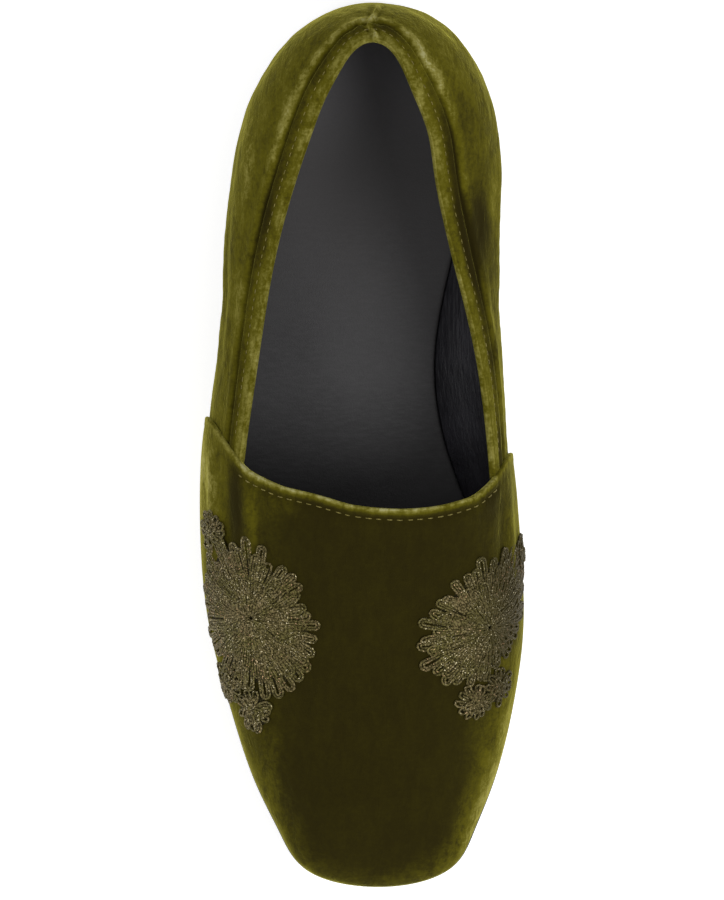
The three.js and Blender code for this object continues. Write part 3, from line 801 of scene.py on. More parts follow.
# Where the velvet is lighter or darker than around, from brushed nap and from painted highlights and
# shade where the creased cloth catches or loses the light: x and y in plan, how far it spreads both
# ways, and by how much
NAP_AND_LIGHT_PATCHES = [
    (29, -63, 3.2, 9, -0.3),
    (26.5, -66, 5, 15, -0.16),
    (33.4, -56, 1.3, 8, 0.3),
    (12.3, -21, 2.2, 7, 0.3),
    (14.5, -11.5, 6, 4, 0.16),
    (11, -13.5, 2.6, 3.5, 0.2),
    (15, -19.5, 2.4, 4, 0.22),
    (18, -26, 2.2, 4.5, 0.2),
    (20, -19, 4.5, 6, 0.15),
    (24, -38, 2.5, 7, -0.2),
    (-24, -18, 6, 7, 0.12),
    (-35.5, -42, 1.6, 12, 0.28),
    (-30, -58, 3, 9, -0.16),
    (-38, -84, 2, 9, 0.2),
    (31, -92, 2.5, 10, 0.12),
    (34, -112, 2, 7, 0.25),
    (-5, -4, 9, 3, 0.18),
    (-46.5, -134, 3, 14, 0.5),
    (-39, -141, 2.2, 13, -0.34),
    (-34.5, -143, 1.6, 9, 0.2),
    (-26, -141, 5, 3, 0.1),
    (37, -145, 1.6, 8, 0.22),
    (31.5, -140, 2.4, 7, -0.14),
    (24, -139, 5, 3.5, 0.12),
    (-29.5, -212, 3, 17, 0.12),
    (27, -205, 4, 15, 0.1),
    (34, -190, 3, 14, 0.14),
]


def band_profile(below):
    """Height of the collar band's cloth at a distance below the topline."""
    puffed = BAND_RISE * fade(below, BAND_WIDTH - 0.9, BAND_WIDTH + 0.2)
    return puffed + bells(below, BAND_RELIEF)


def seam_offset(points, below):
    """How far points are across from the crooked seam up the back of the heel."""
    centre = lerp(1.4, -1.6, smoothstep(-points[..., 1], 1, 8.5))
    return points[..., 0] - centre - 2.0 * fade(below, 1, 5)


def back_seam(points, below):
    """Relief of the seam up the back of the heel and of the puckers where the bands meet."""
    x, y = seam_offset(points, below), points[..., 1]
    behind = smoothstep(-y, 24, 12)
    high = fade(below, 14, 22)
    seam = 0.75 * bell(x, 0.5) - 0.5 * bell(np.abs(x) - 1.3, 0.7)
    knot = bell(below - BAND_WIDTH + 0.8, 3.0) * bell(x, 5.0)
    angle = np.arctan2(below - BAND_WIDTH - 4.0, x)
    puckers = 0.42 * knot * np.sin(9 * angle + 0.8)
    return behind * high * (seam + puckers)


# Brushed nap together with painted highlights and shade, from the patches
def nap_and_light_patches(points):
    total = np.zeros(points.shape[:-1])
    for x, y, spread_x, spread_y, amount in NAP_AND_LIGHT_PATCHES:
        off = ((points[..., 0] - x) / spread_x) ** 2 + ((points[..., 1] - y) / spread_y) ** 2
        total += amount * np.exp(-off)
    return total


def quarters():
    side, place = around(QUARTER_END, QUARTER_COLUMNS)
    s, p = side[:, None], place[:, None]
    runs, total = up_to_topline(side, place)
    total = total[:, None]
    even = (total - NEAR_TOPLINE[-1]) * np.linspace(0, 1, EVEN_ROWS + 1)[:-1]
    upper_runs = np.concatenate([even, total - NEAR_TOPLINE[::-1]], 1)
    wall = wall_levels(0.0, WALL_ROWS, place)
    levels = np.concatenate([wall, levels_at(runs, upper_runs)], 1)
    below = total - np.concatenate([(wall - 1) * BALL * 0.2, upper_runs], 1)
    base = skin(s, p, levels, 0)[0]
    out = band_profile(below)
    out += fold_relief(base, QUARTER_FOLDS) * smoothstep(below, 7, 11)
    out += ripples(base, 22, 0.3, 3) * smoothstep(below, 6.5, 10)
    out += ripples(base, 5, 0.12, 17) * smoothstep(below, 1, 3)
    out += back_seam(base, below)
    out -= UNDER_VAMP * smoothstep(p, 1.0, QUARTER_END)
    points = skin(s, p, levels, out)[0]

    edge_level = levels[:, -1]
    up = up_rib(rib(side, place), edge_level)
    edge, normal = skin(side, place, edge_level, 0)
    rim = []
    for angle in np.linspace(0, np.pi, 11)[1:]:
        depth = lerp(-RIM_DEPTH, out[:, -1:], (1 + math.cos(angle)) / 2)
        reach = RIM_REACH * math.sin(angle) ** 0.8
        rim.append(edge + normal * depth + up * reach)
    turned = skin(s, p, levels_at(runs, total - TURNED_IN[:, 0]), -TURNED_IN[:, 1])[0]
    tucked = tucked_row(points, side, place, QUARTER_TUCK)
    whole = np.concatenate([tucked, points, np.stack(rim, 1), turned], 1)

    # Nap and painted light of the quarters: painted highlights on the collar's rim, the seam
    # allowance's ridge and the back seam, painted shade in the groove and beside the stitch line, and
    # darker on the medial side towards the front
    nap_and_sheen = np.full(whole.shape[:2], QUARTER_NAP_AND_SHEEN)
    outer = nap_and_sheen[:, 1:1 + points.shape[1]]
    from_heel = -base[..., 1]
    outer -= (s > 0) * lerp(0.06, 0.15, smoothstep(from_heel, 20, 90))
    outer += bells(seam_offset(base, below), BACK_SEAM_HIGHLIGHT) * smoothstep(from_heel, 20, 10)
    outer += bells(below, ALLOWANCE_HIGHLIGHT) * smoothstep(from_heel, 80, 30)
    outer += bells(below, BAND_LIGHT_AND_SHADE) + nap_and_light_patches(base)
    nap_and_sheen[:, 1 + points.shape[1]:] = RIM_HIGHLIGHT
    return mesh_piece("quarters", grid(whole), VELVET, values={"nap_and_sheen": nap_and_sheen})


# Vamp: velvet from the sole over the instep, lapped over the quarters, with a turned edge

VAMP_COLUMNS = 150
VAMP_ROWS = 112
THROAT_STITCH = 2.7
VAMP_TUCK = 1.4
EDGE_BACK_LAP = [0.3, 0.5, 0.55, 0.5, 0.3, 0.05, -0.3, -0.6]
EDGE_OUT_LAP = [1.22, 0.95, 0.62, 0.3, 0.08, -0.05, -0.1, -0.15]
EDGE_BACK_FREE = [0.3, 0.42, 0.4, 0.2, -0.3, -1.2, -3.0, -3.3]
EDGE_OUT_FREE = [1.2, 0.85, 0.3, -0.3, -0.65, -0.75, -0.8, -0.5]
EDGE_ROWS = len(EDGE_BACK_LAP)

# The real edge of the vamp runs a little before or behind the seam line of the last: pairs of
# level and shift, as shares of the way from the seam to the toe
SEAM_SHIFT = {
    LATERAL: [(1.0, 0.0), (1.28, 0.0), (1.37, 0.006), (1.43, 0.0085), (1.51, 0.0048), (1.61, -0.0005),
              (1.745, -0.0036), (1.83, -0.0006), (1.9, 0.0026), (2.0, 0.0055)],
    MEDIAL: [(1.0, 0.0), (1.23, -0.002), (1.35, 0.0028), (1.5, 0.0055), (1.57, 0.006), (1.66, 0.004),
             (1.82, 0.0034), (1.95, 0.0048), (2.0, 0.0055)],
}
SHIFT_FADES = 0.3

# Lines along the throat's edge: height, distance from the edge and width
THROAT_RELIEF = [(0.18, 1.2, 0.9), (0.2, THROAT_STITCH + 2.2, 1.6)]

# Painted highlights on the vamp's steep sides: how strong, and between which levels they fade
SIDE_HIGHLIGHTS = {
    LATERAL: [(0.3, 1.1, 1.5), (0.3, 1.0, 1.2)],
    MEDIAL: [(0.45, 1.22, 1.54), (0.24, 1.1, 1.36)],
}
# Painted highlights on the throat's rolled edge and on the vamp's shoulders, and the least nap of the
# vamp's dark top
THROAT_EDGE_HIGHLIGHT = 0.85
SHOULDER_HIGHLIGHT = 0.29
LEAST_NAP = 0.08


def seam_place(hand, level):
    """Place of the vamp's edge, at any levels."""
    table = np.array(SEAM_SHIFT[hand])
    return 1 + natural_spline(table[:, 0], table[:, 1])(np.asarray(level, float))


def from_seam(side, place, levels):
    """Places of a grid of the vamp, moved near the seam so that it starts at the vamp's edge."""
    moved = np.array([seam_place(hand, row) for hand, row in zip(side, levels)])
    fading = fade(place, 1, 1 + SHIFT_FADES)
    return place[:, None] + (moved - 1) * fading[:, None]


def seam_frame(hand, levels):
    """Points of the last along the side seam, with the normals and the way back over it."""
    side, place = np.full(len(levels), hand), seam_place(hand, levels)
    point, normal = skin(side, place, levels, 0)
    back = unit(np.cross(up_rib(rib(side, place), levels), normal))
    return point, normal, back * np.sign(back[:, 1:2])


def seam_freedom(hand, levels):
    """0 where the vamp laps over the quarter, 1 where its edge is free at the throat."""
    runs, total = up_to_topline(np.array([hand]), np.ones(1))
    run = run_at(np.broadcast_to(runs, (len(levels), runs.shape[1])), levels)
    return smoothstep(run - total, -1.2, 2.2)


def edge_freedom(side, levels):
    """The freedom of the edge on each column's own side of the vamp."""
    ends = seam_freedom(LATERAL, levels[0]), seam_freedom(MEDIAL, levels[-1])
    return np.where(side[:, None] < 0, *ends)


def turned_edge(hand, levels, first_out):
    """Columns of the vamp's edge, from its outer face round to the inner one."""
    point, normal, back = seam_frame(hand, levels)
    free = seam_freedom(hand, levels)[:, None]
    columns = []
    profile = zip(EDGE_BACK_LAP, EDGE_OUT_LAP, EDGE_BACK_FREE, EDGE_OUT_FREE)
    for lap_back, lap_out, free_back, free_out in profile:
        reach = lerp(lap_back, free_back, free)
        height = lerp(lap_out, free_out, free) + (first_out[:, None] - VAMP_LAP) * max(0, lap_out)
        columns.append(point + back * reach + normal * height)
    return columns


def with_edges(values, mode="edge"):
    """A grid of values that goes on over the turned edges at both ends."""
    return np.pad(values, ((EDGE_ROWS, EDGE_ROWS), (0, 0)), mode)


def vamp():
    side, place = over_toe(VAMP_COLUMNS)
    levels = vamp_levels(side, place, VAMP_ROWS, 0.0, WALL_ROWS)
    p = from_seam(side, place, levels)
    base = skin(side[:, None], p, levels, 0)[0]
    steps = np.linalg.norm(np.diff(base, axis=0), axis=-1)
    lateral_run = np.cumsum(steps[:VAMP_COLUMNS], 0)
    medial_run = np.cumsum(steps[:VAMP_COLUMNS - 1:-1], 0)[::-1]
    from_edge = np.pad(np.concatenate([lateral_run, medial_run[1:]]), ((1, 1), (0, 0)))
    free = edge_freedom(side, levels)
    out = VAMP_LAP - bell(from_edge - THROAT_STITCH, 0.6) * lerp(0.1, 0.34, free)
    out += bells(from_edge, THROAT_RELIEF) * free + fold_relief(base, VAMP_FOLDS)
    out += ripples(base, 40, 0.3, 5) * smoothstep(from_edge, 3, 12)
    points = skin(side[:, None], p, levels, out)[0]
    before = turned_edge(LATERAL, levels[0], out[0])[::-1]
    whole = np.stack([*before, *points, *turned_edge(MEDIAL, levels[-1], out[-1])])

    s, p = with_edges(side[:, None]), with_edges(place[:, None])
    whole = np.concatenate([tucked_row(whole, s[:, 0], p[:, 0], VAMP_TUCK), whole], 1)
    free, level = with_edges(free), with_edges(levels)
    # Painted highlights on the throat's rolled edge, the steep sides and the shoulders, over the
    # velvet's least nap, plus the patches of nap and painted light
    nap_and_sheen = THROAT_EDGE_HIGHLIGHT * bell(with_edges(from_edge, "constant"), 1.0) * lerp(0.45, 1.0, free)
    before_toe = fade(p, 1.66, 1.96)
    lateral, medial = (sum(nap_and_sheen_level * fade(level, low, high) for nap_and_sheen_level, low, high in SIDE_HIGHLIGHTS[hand])
                       for hand in (LATERAL, MEDIAL))
    lateral = lateral * lerp(0.4, 1.0, before_toe)
    medial = medial * smoothstep(p, 1.15, 1.5) * lerp(0.25, 1.0, before_toe)
    shoulder_highlight = SHOULDER_HIGHLIGHT * fade(level, 1.25, 1.7) * fade(p, 1.12, 1.4)
    shoulder_highlight = shoulder_highlight * np.where(s > 0, 0.55, 1.0)
    nap_and_sheen += np.maximum(np.where(s > 0, medial, lateral), shoulder_highlight) + LEAST_NAP
    nap_and_sheen[EDGE_ROWS:-EDGE_ROWS] += nap_and_light_patches(base)
    nap_and_sheen = np.concatenate([nap_and_sheen[:, :1], nap_and_sheen], 1)
    return mesh_piece("vamp", grid(whole), VELVET, weld=True, values={"nap_and_sheen": nap_and_sheen})


# Lining: one sheet behind the side seams and one under the vamp. Tuck is how far in under the
# insole's edge its lowest rows lie, and how high over the seat.

LINING_COLUMNS = 150
LINING_TOE_COLUMNS = 70
LINING_ROWS = 24
LINING_TOE_ROWS = 60
LINING_START = 0.2
LINING_WALL_ROWS = 26
LINING_TUCK = [(1.6, GAP + 0.15), (0.2, GAP + 0.6), (0.2, GAP + INSOLE - 1.15)]
UNDER_RIM = 0.9
AT_THROAT = -0.62


def lining_sheet(side, place, levels, out):
    p = place if place.ndim > 1 else place[:, None]
    points = skin(side[:, None], p, levels, out)[0]
    stations = rib(side, p[:, 0]).at
    rows = []
    for reach, lift in LINING_TUCK:
        foot = feather(side, stations, -WALL * lean(side, stations) - reach)
        rows.append(np.concatenate([foot, seat(foot[:, 1:]) + lift], 1))
    return grid(np.concatenate([np.stack(rows, 1), points], 1), inside=True)


def lining():
    """The inner sheet of the upper, with its wrinkles."""
    side, place = around(1.0, LINING_COLUMNS)
    runs, total = up_to_topline(side, place)
    upper_runs = (total[:, None] - UNDER_RIM) * np.linspace(0, 1, LINING_ROWS)
    wall = wall_levels(LINING_START, LINING_WALL_ROWS, place)
    levels = np.concatenate([wall, levels_at(runs, upper_runs)], 1)
    base = skin(side[:, None], place[:, None], levels, 0)[0]
    relief = fold_relief(base, LINING_FOLDS) + ripples(base, 12, 0.2, 9)
    under_rim = upper_runs[:, -1:] - np.concatenate([np.full_like(wall, -20.0), upper_runs], 1)
    relief = relief * smoothstep(under_rim, 0.5, 6)
    relief += (WALL - RIM_DEPTH) * fade(under_rim, 0.2, 2.2)
    back = lining_sheet(side, place, levels, -WALL + CLEAR + relief)

    side, place = over_toe(LINING_TOE_COLUMNS)
    levels = vamp_levels(side, place, LINING_TOE_ROWS, LINING_START, LINING_WALL_ROWS)
    p = from_seam(side, place, levels)
    near_throat = fade(p, 1.0, 1.12) * edge_freedom(side, levels)
    depth = lerp(VAMP_LAP * smoothstep(p, 1, 1.5) - WALL, AT_THROAT, near_throat)
    toe = lining_sheet(side, p, levels, depth)
    return mesh_piece("lining", joined([back, toe]), LINING, weld=True)


# Embroidery: loops of twisted cord over a low ground

CORD = 0.34
CORD_STEP = 0.4
CORD_SIDES = 6
PLY_PITCH = 2.3

# Search for the place and level of a point on the vamp: where it starts, how many rounds it has,
# how far it may go in one, and the places and levels that it keeps to
SEARCH_START = 1.4
SEARCH_ROUNDS = 16
SEARCH_STEP = 0.15
SEARCH_PLACES = (0.9, 1.98)
SEARCH_LEVELS = (0.35, 1.97)

# How petals differ: turn and width as shares of the room that each has, reach as a share, the
# least and greatest width, bend and height
PETAL_TURN = 0.28
PETAL_SHARE = (0.62, 0.8)
PETAL_REACH = (-0.14, 0.03)
PETAL_WIDTHS = (1.2, 3.0)
PETAL_BEND = 1.1
PETAL_LIFT = 0.08

# A loop's ends dip by so much, over this share of its length
LOOP_DIP = 0.35
LOOP_END = 0.06

# The ground: its size as a share of the flower's, how high it bulges, and its columns and rows
GROUND_REACH = 0.8
BLOOM_BULGE = 0.75
BUD_BULGE = 0.45
GROUND_COLUMNS = 96
GROUND_ROWS = 22


def run_along(path):
    """Distance along a path at each of its points."""
    return np.concatenate([[0], np.cumsum(np.linalg.norm(np.diff(path, axis=0), axis=1))])


def read_path(path, run, wanted):
    return np.stack([np.interp(wanted, run, column) for column in path.T], 1)


def resample(path, step):
    run = run_along(path)
    count = max(6, int(round(run[-1] / step)))
    return read_path(path, run, np.linspace(0, run[-1], count + 1))


def tube(points, normals, radius, pitch=PLY_PITCH, ply=0.26):
    """A cord of two twisted plies along a path, with tapered ends."""
    count, sides = len(points), CORD_SIDES
    along = unit(np.gradient(points, axis=0))
    across = unit(np.cross(along, normals))
    up = np.cross(across, along)
    run = run_along(points)[:, None]
    angle = np.linspace(0, 2 * np.pi, sides, endpoint=False)[None]
    size = radius * (1 + ply * np.cos(2 * angle - 4 * np.pi * run / pitch))
    ends = np.minimum(run, run[-1] - run) / radius
    size = size * np.sqrt(np.clip(ends, 0.05, 1))
    ring = across[:, None] * np.cos(angle)[..., None] + up[:, None] * np.sin(angle)[..., None]
    corners = points[:, None] + ring * size[..., None]
    i = np.arange(count - 1)[:, None] * sides
    j = np.arange(sides)[None]
    k = (j + 1) % sides
    faces = np.stack([i + j, i + k, i + sides + k, i + sides + j], -1)
    return corners.reshape(-1, 3), faces.reshape(-1, 4)[:, ::-1]


class FlowerPlace:
    """The frame of a flower: its heart on the vamp, and the ways to the toe and the sole."""

    def __init__(self, hand):
        self.hand = hand
        facts = FLOWERS[hand]
        self.half_long = facts["size"] * BLOOM_LENGTH / 2
        self.half_wide = facts["size"] * BLOOM_WIDTH / 2
        start = np.full(1, SEARCH_START), np.full(1, SEARCH_START)
        wanted = np.array([[hand * facts["off"] * BALL, -facts["at"] * LAST, 0.0]])
        flat = np.array([[1.0, 0, 0], [0, 1.0, 0]])
        place, level = self.settle(wanted, flat, *start)
        point, normal = skin(np.array([hand]), place, level, np.zeros(1))
        self.heart, self.normal = point[0], normal[0]
        to_toe = np.array([0, -1.0, 0])
        to_toe = unit(to_toe - self.normal * (to_toe @ self.normal))
        down = np.cross(self.normal, to_toe) * hand
        lean_by = math.radians(facts["lean"])
        self.long = to_toe * math.cos(lean_by) - down * math.sin(lean_by)
        self.down = to_toe * math.sin(lean_by) + down * math.cos(lean_by)
        self.place, self.level = place[0], level[0]

    def settle(self, wanted, axes, place, level):
        """Places and levels whose points match the wanted ones along both axes."""
        reach = 1e-4
        for _ in range(SEARCH_ROUNDS):
            here = on_rib(rib(self.hand, place), level)
            ahead = (on_rib(rib(self.hand, place + reach), level) - here) / reach
            up = (on_rib(rib(self.hand, place), level + reach) - here) / reach
            miss = (wanted - here) @ axes.T
            a, b = ahead @ axes.T, up @ axes.T
            area = a[:, 0] * b[:, 1] - a[:, 1] * b[:, 0]
            area = np.where(np.abs(area) < 1e-3, 1e-3, area)
            step_place = (miss[:, 0] * b[:, 1] - miss[:, 1] * b[:, 0]) / area
            step_level = (miss[:, 1] * a[:, 0] - miss[:, 0] * a[:, 1]) / area
            place = np.clip(place + np.clip(step_place, -SEARCH_STEP, SEARCH_STEP), *SEARCH_PLACES)
            level = np.clip(level + np.clip(step_level, -SEARCH_STEP, SEARCH_STEP), *SEARCH_LEVELS)
        return place, level

    def on_vamp(self, flat, height):
        """Points over the vamp at a height above its cloth, and their normals."""
        wanted = self.heart + flat[:, :1] * self.long + flat[:, 1:] * self.down
        start = np.full(len(flat), self.place), np.full(len(flat), self.level)
        place, level = self.settle(wanted, np.stack([self.long, self.down]), *start)
        return skin(np.full(len(flat), self.hand), place, level, VAMP_LAP + height)

    def oval(self, eye, angle):
        """How far it is from the eye to the oval of the bloom, at an angle from its long axis."""
        scale = np.array([self.half_long, self.half_wide])
        o = np.asarray(eye) / scale
        d = np.stack([np.cos(angle), np.sin(angle)], -1) / scale
        a, b, c = (d * d).sum(-1), 2 * (d * o).sum(-1), (o * o).sum(-1) - 1
        return (-b + np.sqrt(b * b - 4 * a * c)) / (2 * a)

    def reach(self, eye, angle):
        """How far the petals reach from the eye."""
        further = FLOWERS[self.hand]["soleward"] * np.maximum(0, np.sin(angle)) ** 2
        return self.oval(eye, angle) * (1 + further)

    def buds(self):
        """Hearts of the buds in the plane of the flower, and their half size."""
        size = FLOWERS[self.hand]["size"] * BUD
        hearts = []
        for turn, out in FLOWERS[self.hand]["buds"]:
            angle = math.radians(turn)
            far = float(self.oval((0, 0), angle)) + out * size
            hearts.append((far * math.cos(angle), far * math.sin(angle)))
        return hearts, size / 2


def laid_out(eye, angle, forward, aside):
    """Points in the plane of a flower, from how far they are out from its eye and aside."""
    cos, sin = math.cos(angle), math.sin(angle)
    return np.asarray(eye) + (forward[:, None] * np.array([cos, sin])
                              + aside[:, None] * np.array([-sin, cos]))


def petal(angle, start, end, width, bend, eye):
    """Outline of one petal as an open loop of cord, in the plane of the flower."""
    length = end - start
    half = width / 2
    straight = max(0.2, length - half)
    t = np.linspace(0, 1, 14)
    swell = half * (0.3 + 0.7 * np.sin(t * np.pi / 2) ** 0.8)
    tip = np.linspace(-np.pi / 2, np.pi / 2, 12)[1:-1]
    forward = np.concatenate([straight * t, straight + half * np.cos(tip), straight * t[::-1]])
    aside = np.concatenate([-swell, half * np.sin(tip), swell[::-1]])
    aside = aside + bend * (forward / length) ** 2
    return laid_out(eye, angle, start + forward, aside)


# Rings of petals of a full bloom: how many, where they start and end as shares of the way to
# the edge, and how high they lie over the cloth
BLOOM_RINGS = [
    (33, 0.46, 1.0, 0.32),
    (29, 0.34, 0.83, 0.58),
    (24, 0.22, 0.65, 0.82),
    (16, 0.10, 0.46, 1.0),
    (9, 0.02, 0.26, 1.14),
]
BUD_RINGS = [
    (11, 0.2, 1.0, 0.4),
    (6, 0.0, 0.6, 0.8),
]


def flower_paths(eye, rings, reach):
    """Loops of cord in the flower's plane, each with its height over the cloth. A wide petal has
    a smaller loop inside it, and a narrower one a single cord."""
    paths = []
    for count, start, end, height in rings:
        turn = rng.uniform(0, 2 * np.pi)
        for i in range(count):
            angle = turn + 2 * np.pi * (i + rng.uniform(-PETAL_TURN, PETAL_TURN)) / count
            far = float(reach(angle)) * (1 + rng.uniform(*PETAL_REACH))
            tip, base = far * end, far * start
            room = 2 * np.pi * (tip - PETAL_WIDTHS[0]) / count
            width = np.clip(room * rng.uniform(*PETAL_SHARE), *PETAL_WIDTHS)
            bend = rng.uniform(-PETAL_BEND, PETAL_BEND)
            lift = height + rng.uniform(-PETAL_LIFT, PETAL_LIFT)
            paths.append((petal(angle, base, tip, width, bend, eye), lift))
            inner = width - 4.41 * CORD
            if inner > 0.5:
                nested = petal(angle, base + 0.6, tip - 2.1 * CORD, inner, bend, eye)
                paths.append((nested, lift - 0.05))
            elif inner > -0.9:
                line = np.linspace(base + 0.5, tip - 3.2 * CORD, 8)
                aside = bend * ((line - base) / (tip - base)) ** 2
                paths.append((laid_out(eye, angle, line, aside), lift - 0.12))
    return paths


def flower(hand):
    place = FlowerPlace(hand)
    eye = FLOWERS[hand]["eye"]
    paths = flower_paths(eye, BLOOM_RINGS, lambda angle: place.reach(eye, angle))
    hearts, radius = place.buds()
    for heart in hearts:
        paths += flower_paths(heart, BUD_RINGS, lambda angle: radius)
    samples, heights = [], []
    for path, height in paths:
        points = resample(path, CORD_STEP)
        share = np.linspace(0, 1, len(points))
        samples.append(points)
        dips = bell(share, LOOP_END) + bell(share - 1, LOOP_END)
        heights.append(height - LOOP_DIP * dips)
    points, normals = place.on_vamp(np.concatenate(samples), np.concatenate(heights))
    cuts = np.cumsum([len(sample) for sample in samples])[:-1]
    cords = [tube(p, n, CORD) for p, n in zip(np.split(points, cuts), np.split(normals, cuts))]
    name = SIDE_NAMES[hand]
    piece = mesh_piece("cords_" + name, joined(cords), THREAD)
    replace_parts(piece, "embroidery_" + name)
    ground(place, eye, name)


def ground(place, eye, name):
    """The low layer of packed stitches under the loops."""
    buds, radius = place.buds()
    mounds = [(eye, lambda angle: place.reach(eye, angle), BLOOM_BULGE)]
    mounds += [(heart, lambda angle: np.full_like(angle, radius), BUD_BULGE) for heart in buds]
    parts = []
    for heart, reach, height in mounds:
        angle = np.linspace(0, 2 * np.pi, GROUND_COLUMNS, endpoint=False)
        shares = np.linspace(0.02, 1, GROUND_ROWS)
        far = GROUND_REACH * reach(angle)[:, None] * shares
        flat = np.stack([np.cos(angle)[:, None] * far, np.sin(angle)[:, None] * far], -1)
        lift = height * np.sqrt(np.clip(1 - shares**3, 0, 1)) - 0.04
        lifts = np.broadcast_to(lift, far.shape).ravel()
        points, _ = place.on_vamp(flat.reshape(-1, 2) + np.asarray(heart), lifts)
        parts.append(grid(points.reshape(*far.shape, 3), closed=True, inside=place.hand > 0))
    mesh_piece("ground_" + name, joined(parts), GROUND)


# Stitching: rows of single stitches that lie in the cloth, with pitch, length and radius

COLLAR_STITCHES = (2.5, 1.6, 0.14)
THROAT_STITCHES = (2.9, 1.9, 0.17)
STITCH_POINTS = 7
COLLAR_END = 0.985
COLLAR_COLUMNS = 220
THROAT_LEVELS = np.linspace(1.25, 2.0, 120)

# How high they lie, over the band and over the last
OVER_BAND = 0.03
OVER_LAST = 1.12


def stitch_row(points, normals, pitch, length, radius):
    """Stitches of a given length along a path, each a short thread with sunk ends."""
    run = run_along(points)
    parts = []
    for start in np.arange(pitch / 2, run[-1] - pitch / 2, pitch):
        start = start + rng.uniform(-0.12, 0.12)
        sunk = rng.uniform(0, 0.7) * radius
        end = start + length * rng.uniform(0.85, 1.05)
        wanted = np.linspace(start, end, STITCH_POINTS)
        normal = unit(read_path(normals, run, wanted))
        bow = np.sin(np.linspace(0, np.pi, STITCH_POINTS)) ** 0.6
        lift = (bow - 0.75) * radius * 1.6 - sunk
        path = read_path(points, run, wanted) + normal * lift[:, None]
        parts.append(tube(path, normal, radius, pitch=0.9, ply=0.14))
    return joined(parts)


def collar_stitches():
    side, place = around(COLLAR_END, COLLAR_COLUMNS)
    runs, total = up_to_topline(side, place)
    level = levels_at(runs, total[:, None] - STITCH_LINE)[:, 0]
    line, normals = skin(side, place, level, float(band_profile(STITCH_LINE)) + OVER_BAND)
    stitches = stitch_row(line, normals, *COLLAR_STITCHES)
    mesh_piece("collar_stitches", stitches, STITCH)


def throat_stitches():
    parts = []
    for hand in (LATERAL, MEDIAL):
        level = THROAT_LEVELS[seam_freedom(hand, THROAT_LEVELS) > 0.5]
        point, normal, back = seam_frame(hand, level)
        parts.append((point - back * THROAT_STITCH + normal * OVER_LAST, normal))
    line, normals = (np.concatenate([a, b[-2::-1]]) for a, b in zip(*parts))
    stitches = stitch_row(line, normals, *THROAT_STITCHES)
    mesh_piece("throat_stitches", stitches, STITCH)


# Insole, outsole and heel


def sole_ring(count, margin, height, end=1.0):
    """Points round the sole, from the heel along the lateral side and back along the other.
    Margin is how far out they are from the feather line, and height is over the floor."""
    stations = station_at(np.linspace(0, turn_of(end), count + 1))
    sides = []
    for hand in (LATERAL, MEDIAL):
        side = np.full(count + 1, hand)
        p = feather(side, stations, margin(side, stations))
        sides.append(np.concatenate([p, height(p[:, 1:])], 1))
    last = count if end < 1 else count - 1
    return np.concatenate([sides[0], sides[1][last:0:-1]])


def edge_rings(edge, count, margin, height, end=1.0):
    """A ring for each row of an edge: how far in it is trimmed, and its drop or height."""
    return [sole_ring(count, lambda side, at: margin(side, at) - trim,
                      lambda y: height(y, z), end) for trim, z in edge]


def slab(name, rings, material, shape_top=None):
    """A closed body through rings of points, lowest first, capped by rows across."""
    parts = [grid(np.stack(rings, 1), closed=True)]
    half = len(rings[0]) // 2
    across = np.linspace(0, 1, CAP_COLUMNS)
    for ring, on_top in ((rings[0], False), (rings[-1], True)):
        left = ring[:half + 1]
        right = np.concatenate([ring[:1], ring[:half - 1:-1]])[:half + 1]
        cap = left[:, None] + (right - left)[:, None] * across[:, None]
        if on_top and shape_top:
            shape_top(cap, across)
        parts.append(grid(cap, inside=on_top))
    return mesh_piece(name, joined(parts), material, weld=True, closed=True)


# Where the foot has sunk the sock, and its rise at the arch: depth or height, place and width
SUNK = [(0.9, 0.13, 0.13), (0.5, 0.68, 0.16)]
ARCH = [(0.35, 0.42, 0.12)]


def tread(cap, across):
    """Lowers a sock along its middle, so that it rises a little to the edge."""
    middle = np.sin(np.pi * across)[None, :] ** 2
    at = -cap[..., 1] / LAST
    cap[..., 2] -= bells(at, SUNK) * middle
    cap[..., 2] += bells(at, ARCH) * middle


# Profiles from the bottom or the top: how far in, and how far down from the upper face or, for
# the heel, how high over the floor
INSOLE_EDGE = [(0, INSOLE), (0, 1.2), (-0.3, 0.8), (-0.4, 0.55), (-0.3, 0.25), (0.1, 0.06),
               (0.7, 0), (1.5, 0)]
OUTSOLE_EDGE = [(0.9, OUTSOLE), (0.35, OUTSOLE - 0.05), (0.08, OUTSOLE - 0.3), (0, OUTSOLE - 0.6),
                (0, 1.9), (0.12, 1.75), (0, 1.6), (0, 0.5), (0.08, 0.22), (0.3, 0.06), (0.7, 0),
                (2.5, 0)]
HEEL_TOP = HEEL_HEIGHT - GAP
HEEL_LIFTS = [2.6, 5.6]
INSOLE_COLUMNS, OUTSOLE_COLUMNS, HEEL_COLUMNS = 160, 220, 90
CAP_COLUMNS = 25
HEEL_EDGE = [(0.5, 0.0), (0.15, 0.1), (0.0, 0.4)]
for z in HEEL_LIFTS:
    HEEL_EDGE += [(0.0, z - 0.22), (0.22, z - 0.06), (0.22, z + 0.06), (0.0, z + 0.22)]
HEEL_EDGE += [(0.0, HEEL_TOP - 0.1), (0.2, HEEL_TOP)]


def insole():
    rings = edge_rings(INSOLE_EDGE, INSOLE_COLUMNS, lambda side, at: -WALL * lean(side, at) - GAP,
                       lambda y, drop: seat(y) + GAP + (INSOLE - drop))
    piece = slab("insole_sock", rings, LEATHER, tread)
    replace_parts(piece, "insole")


def outsole():
    rings = edge_rings(OUTSOLE_EDGE, OUTSOLE_COLUMNS, lambda side, at: SOLE_MARGIN,
                       lambda y, drop: seat(y) - drop)
    piece = slab("outsole_edge", rings, RUBBER)
    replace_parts(piece, "outsole")


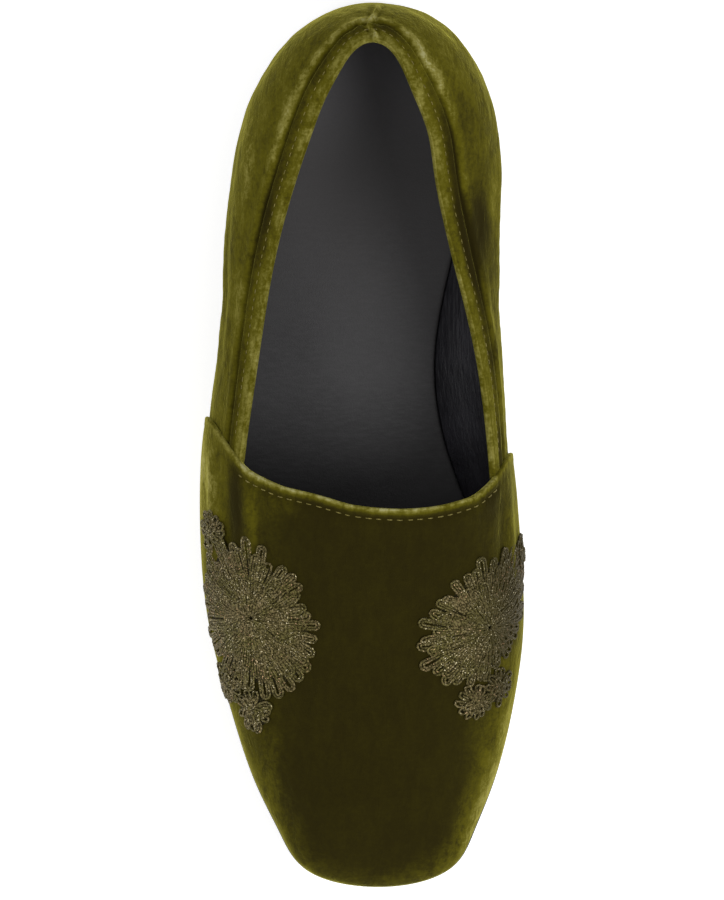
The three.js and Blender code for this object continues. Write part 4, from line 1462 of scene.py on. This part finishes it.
def heel():
    tapered = [(trim + HEEL_TAPER * (1 - z / HEEL_TOP), z) for trim, z in HEEL_EDGE]
    rings = edge_rings(tapered, HEEL_COLUMNS, lambda side, at: SOLE_MARGIN - HEEL_INSET,
                       np.full_like, HEEL_BREAST)
    piece = slab("heel_block", rings, RUBBER)
    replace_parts(piece, "heel")


# The photograph's camera, floor and lights

PHOTO_SCALE = 0.28185
PHOTO_HEIGHT = 900
SILHOUETTE_HEIGHT = 26.0
CAMERA_HEIGHT = 2500.0
CAMERA_ASIDE = -1.0
CAMERA_ROLL = math.radians(-0.45)
SENSOR = 36

# Lights: place, width and power, in metres and watts
LIGHTS = {
    "key": ((0.9, -0.5, 1.3), 0.9, 17),
    "fill": ((-1.1, -0.3, 1.2), 1.2, 8),
}
SKY = 0.5
FLOOR_GLOW = 0.5
FLOOR_REACH = 4


def camera():
    data = bpy.data.cameras.new("camera")
    data.sensor_width = SENSOR
    data.lens = SENSOR * (CAMERA_HEIGHT - SILHOUETTE_HEIGHT) / (PHOTO_SCALE * PHOTO_HEIGHT)
    data.clip_start, data.clip_end = 0.1, 20
    made = in_scene("camera", data)
    made.location = (0.0, CAMERA_ASIDE / 1000, CAMERA_HEIGHT / 1000)
    made.rotation_euler = (0, 0, CAMERA_ROLL)
    bpy.context.scene.camera = made


def studio():
    world = bpy.data.worlds.new("studio")
    world.use_nodes = True
    sky = world.node_tree.nodes["Background"].inputs
    sky["Color"].default_value = (1, 1, 1, 1)
    sky["Strength"].default_value = SKY
    bpy.context.scene.world = world
    for name, (place, size, power) in LIGHTS.items():
        data = bpy.data.lights.new(name, "AREA")
        data.shape, data.size, data.energy = "DISK", size, power
        lamp = in_scene(name, data)
        lamp.location = place
        lamp.rotation_euler = (-Vector(place)).to_track_quat("-Z", "Y").to_euler()
    floor_look = Look("floor", {
        "Roughness": 0.9,
        "Base Color": srgb(250, 250, 250),
        "Emission Color": (1, 1, 1, 1),
        "Emission Strength": FLOOR_GLOW,
    })
    r = FLOOR_REACH
    mesh = bpy.data.meshes.new("floor")
    mesh.from_pydata([(-r, -r, 0), (r, -r, 0), (r, r, 0), (-r, r, 0)], [], [(0, 1, 2, 3)])
    mesh.materials.append(floor_look.material)
    floor = in_scene("floor", mesh)
    bpy.context.scene.view_settings.view_transform = "Standard"


camera()
studio()
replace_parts(vamp(), "upper")
quarters()
lining()
for hand in (LATERAL, MEDIAL):
    flower(hand)
collar_stitches()
throat_stitches()
insole()
outsole()
heel()
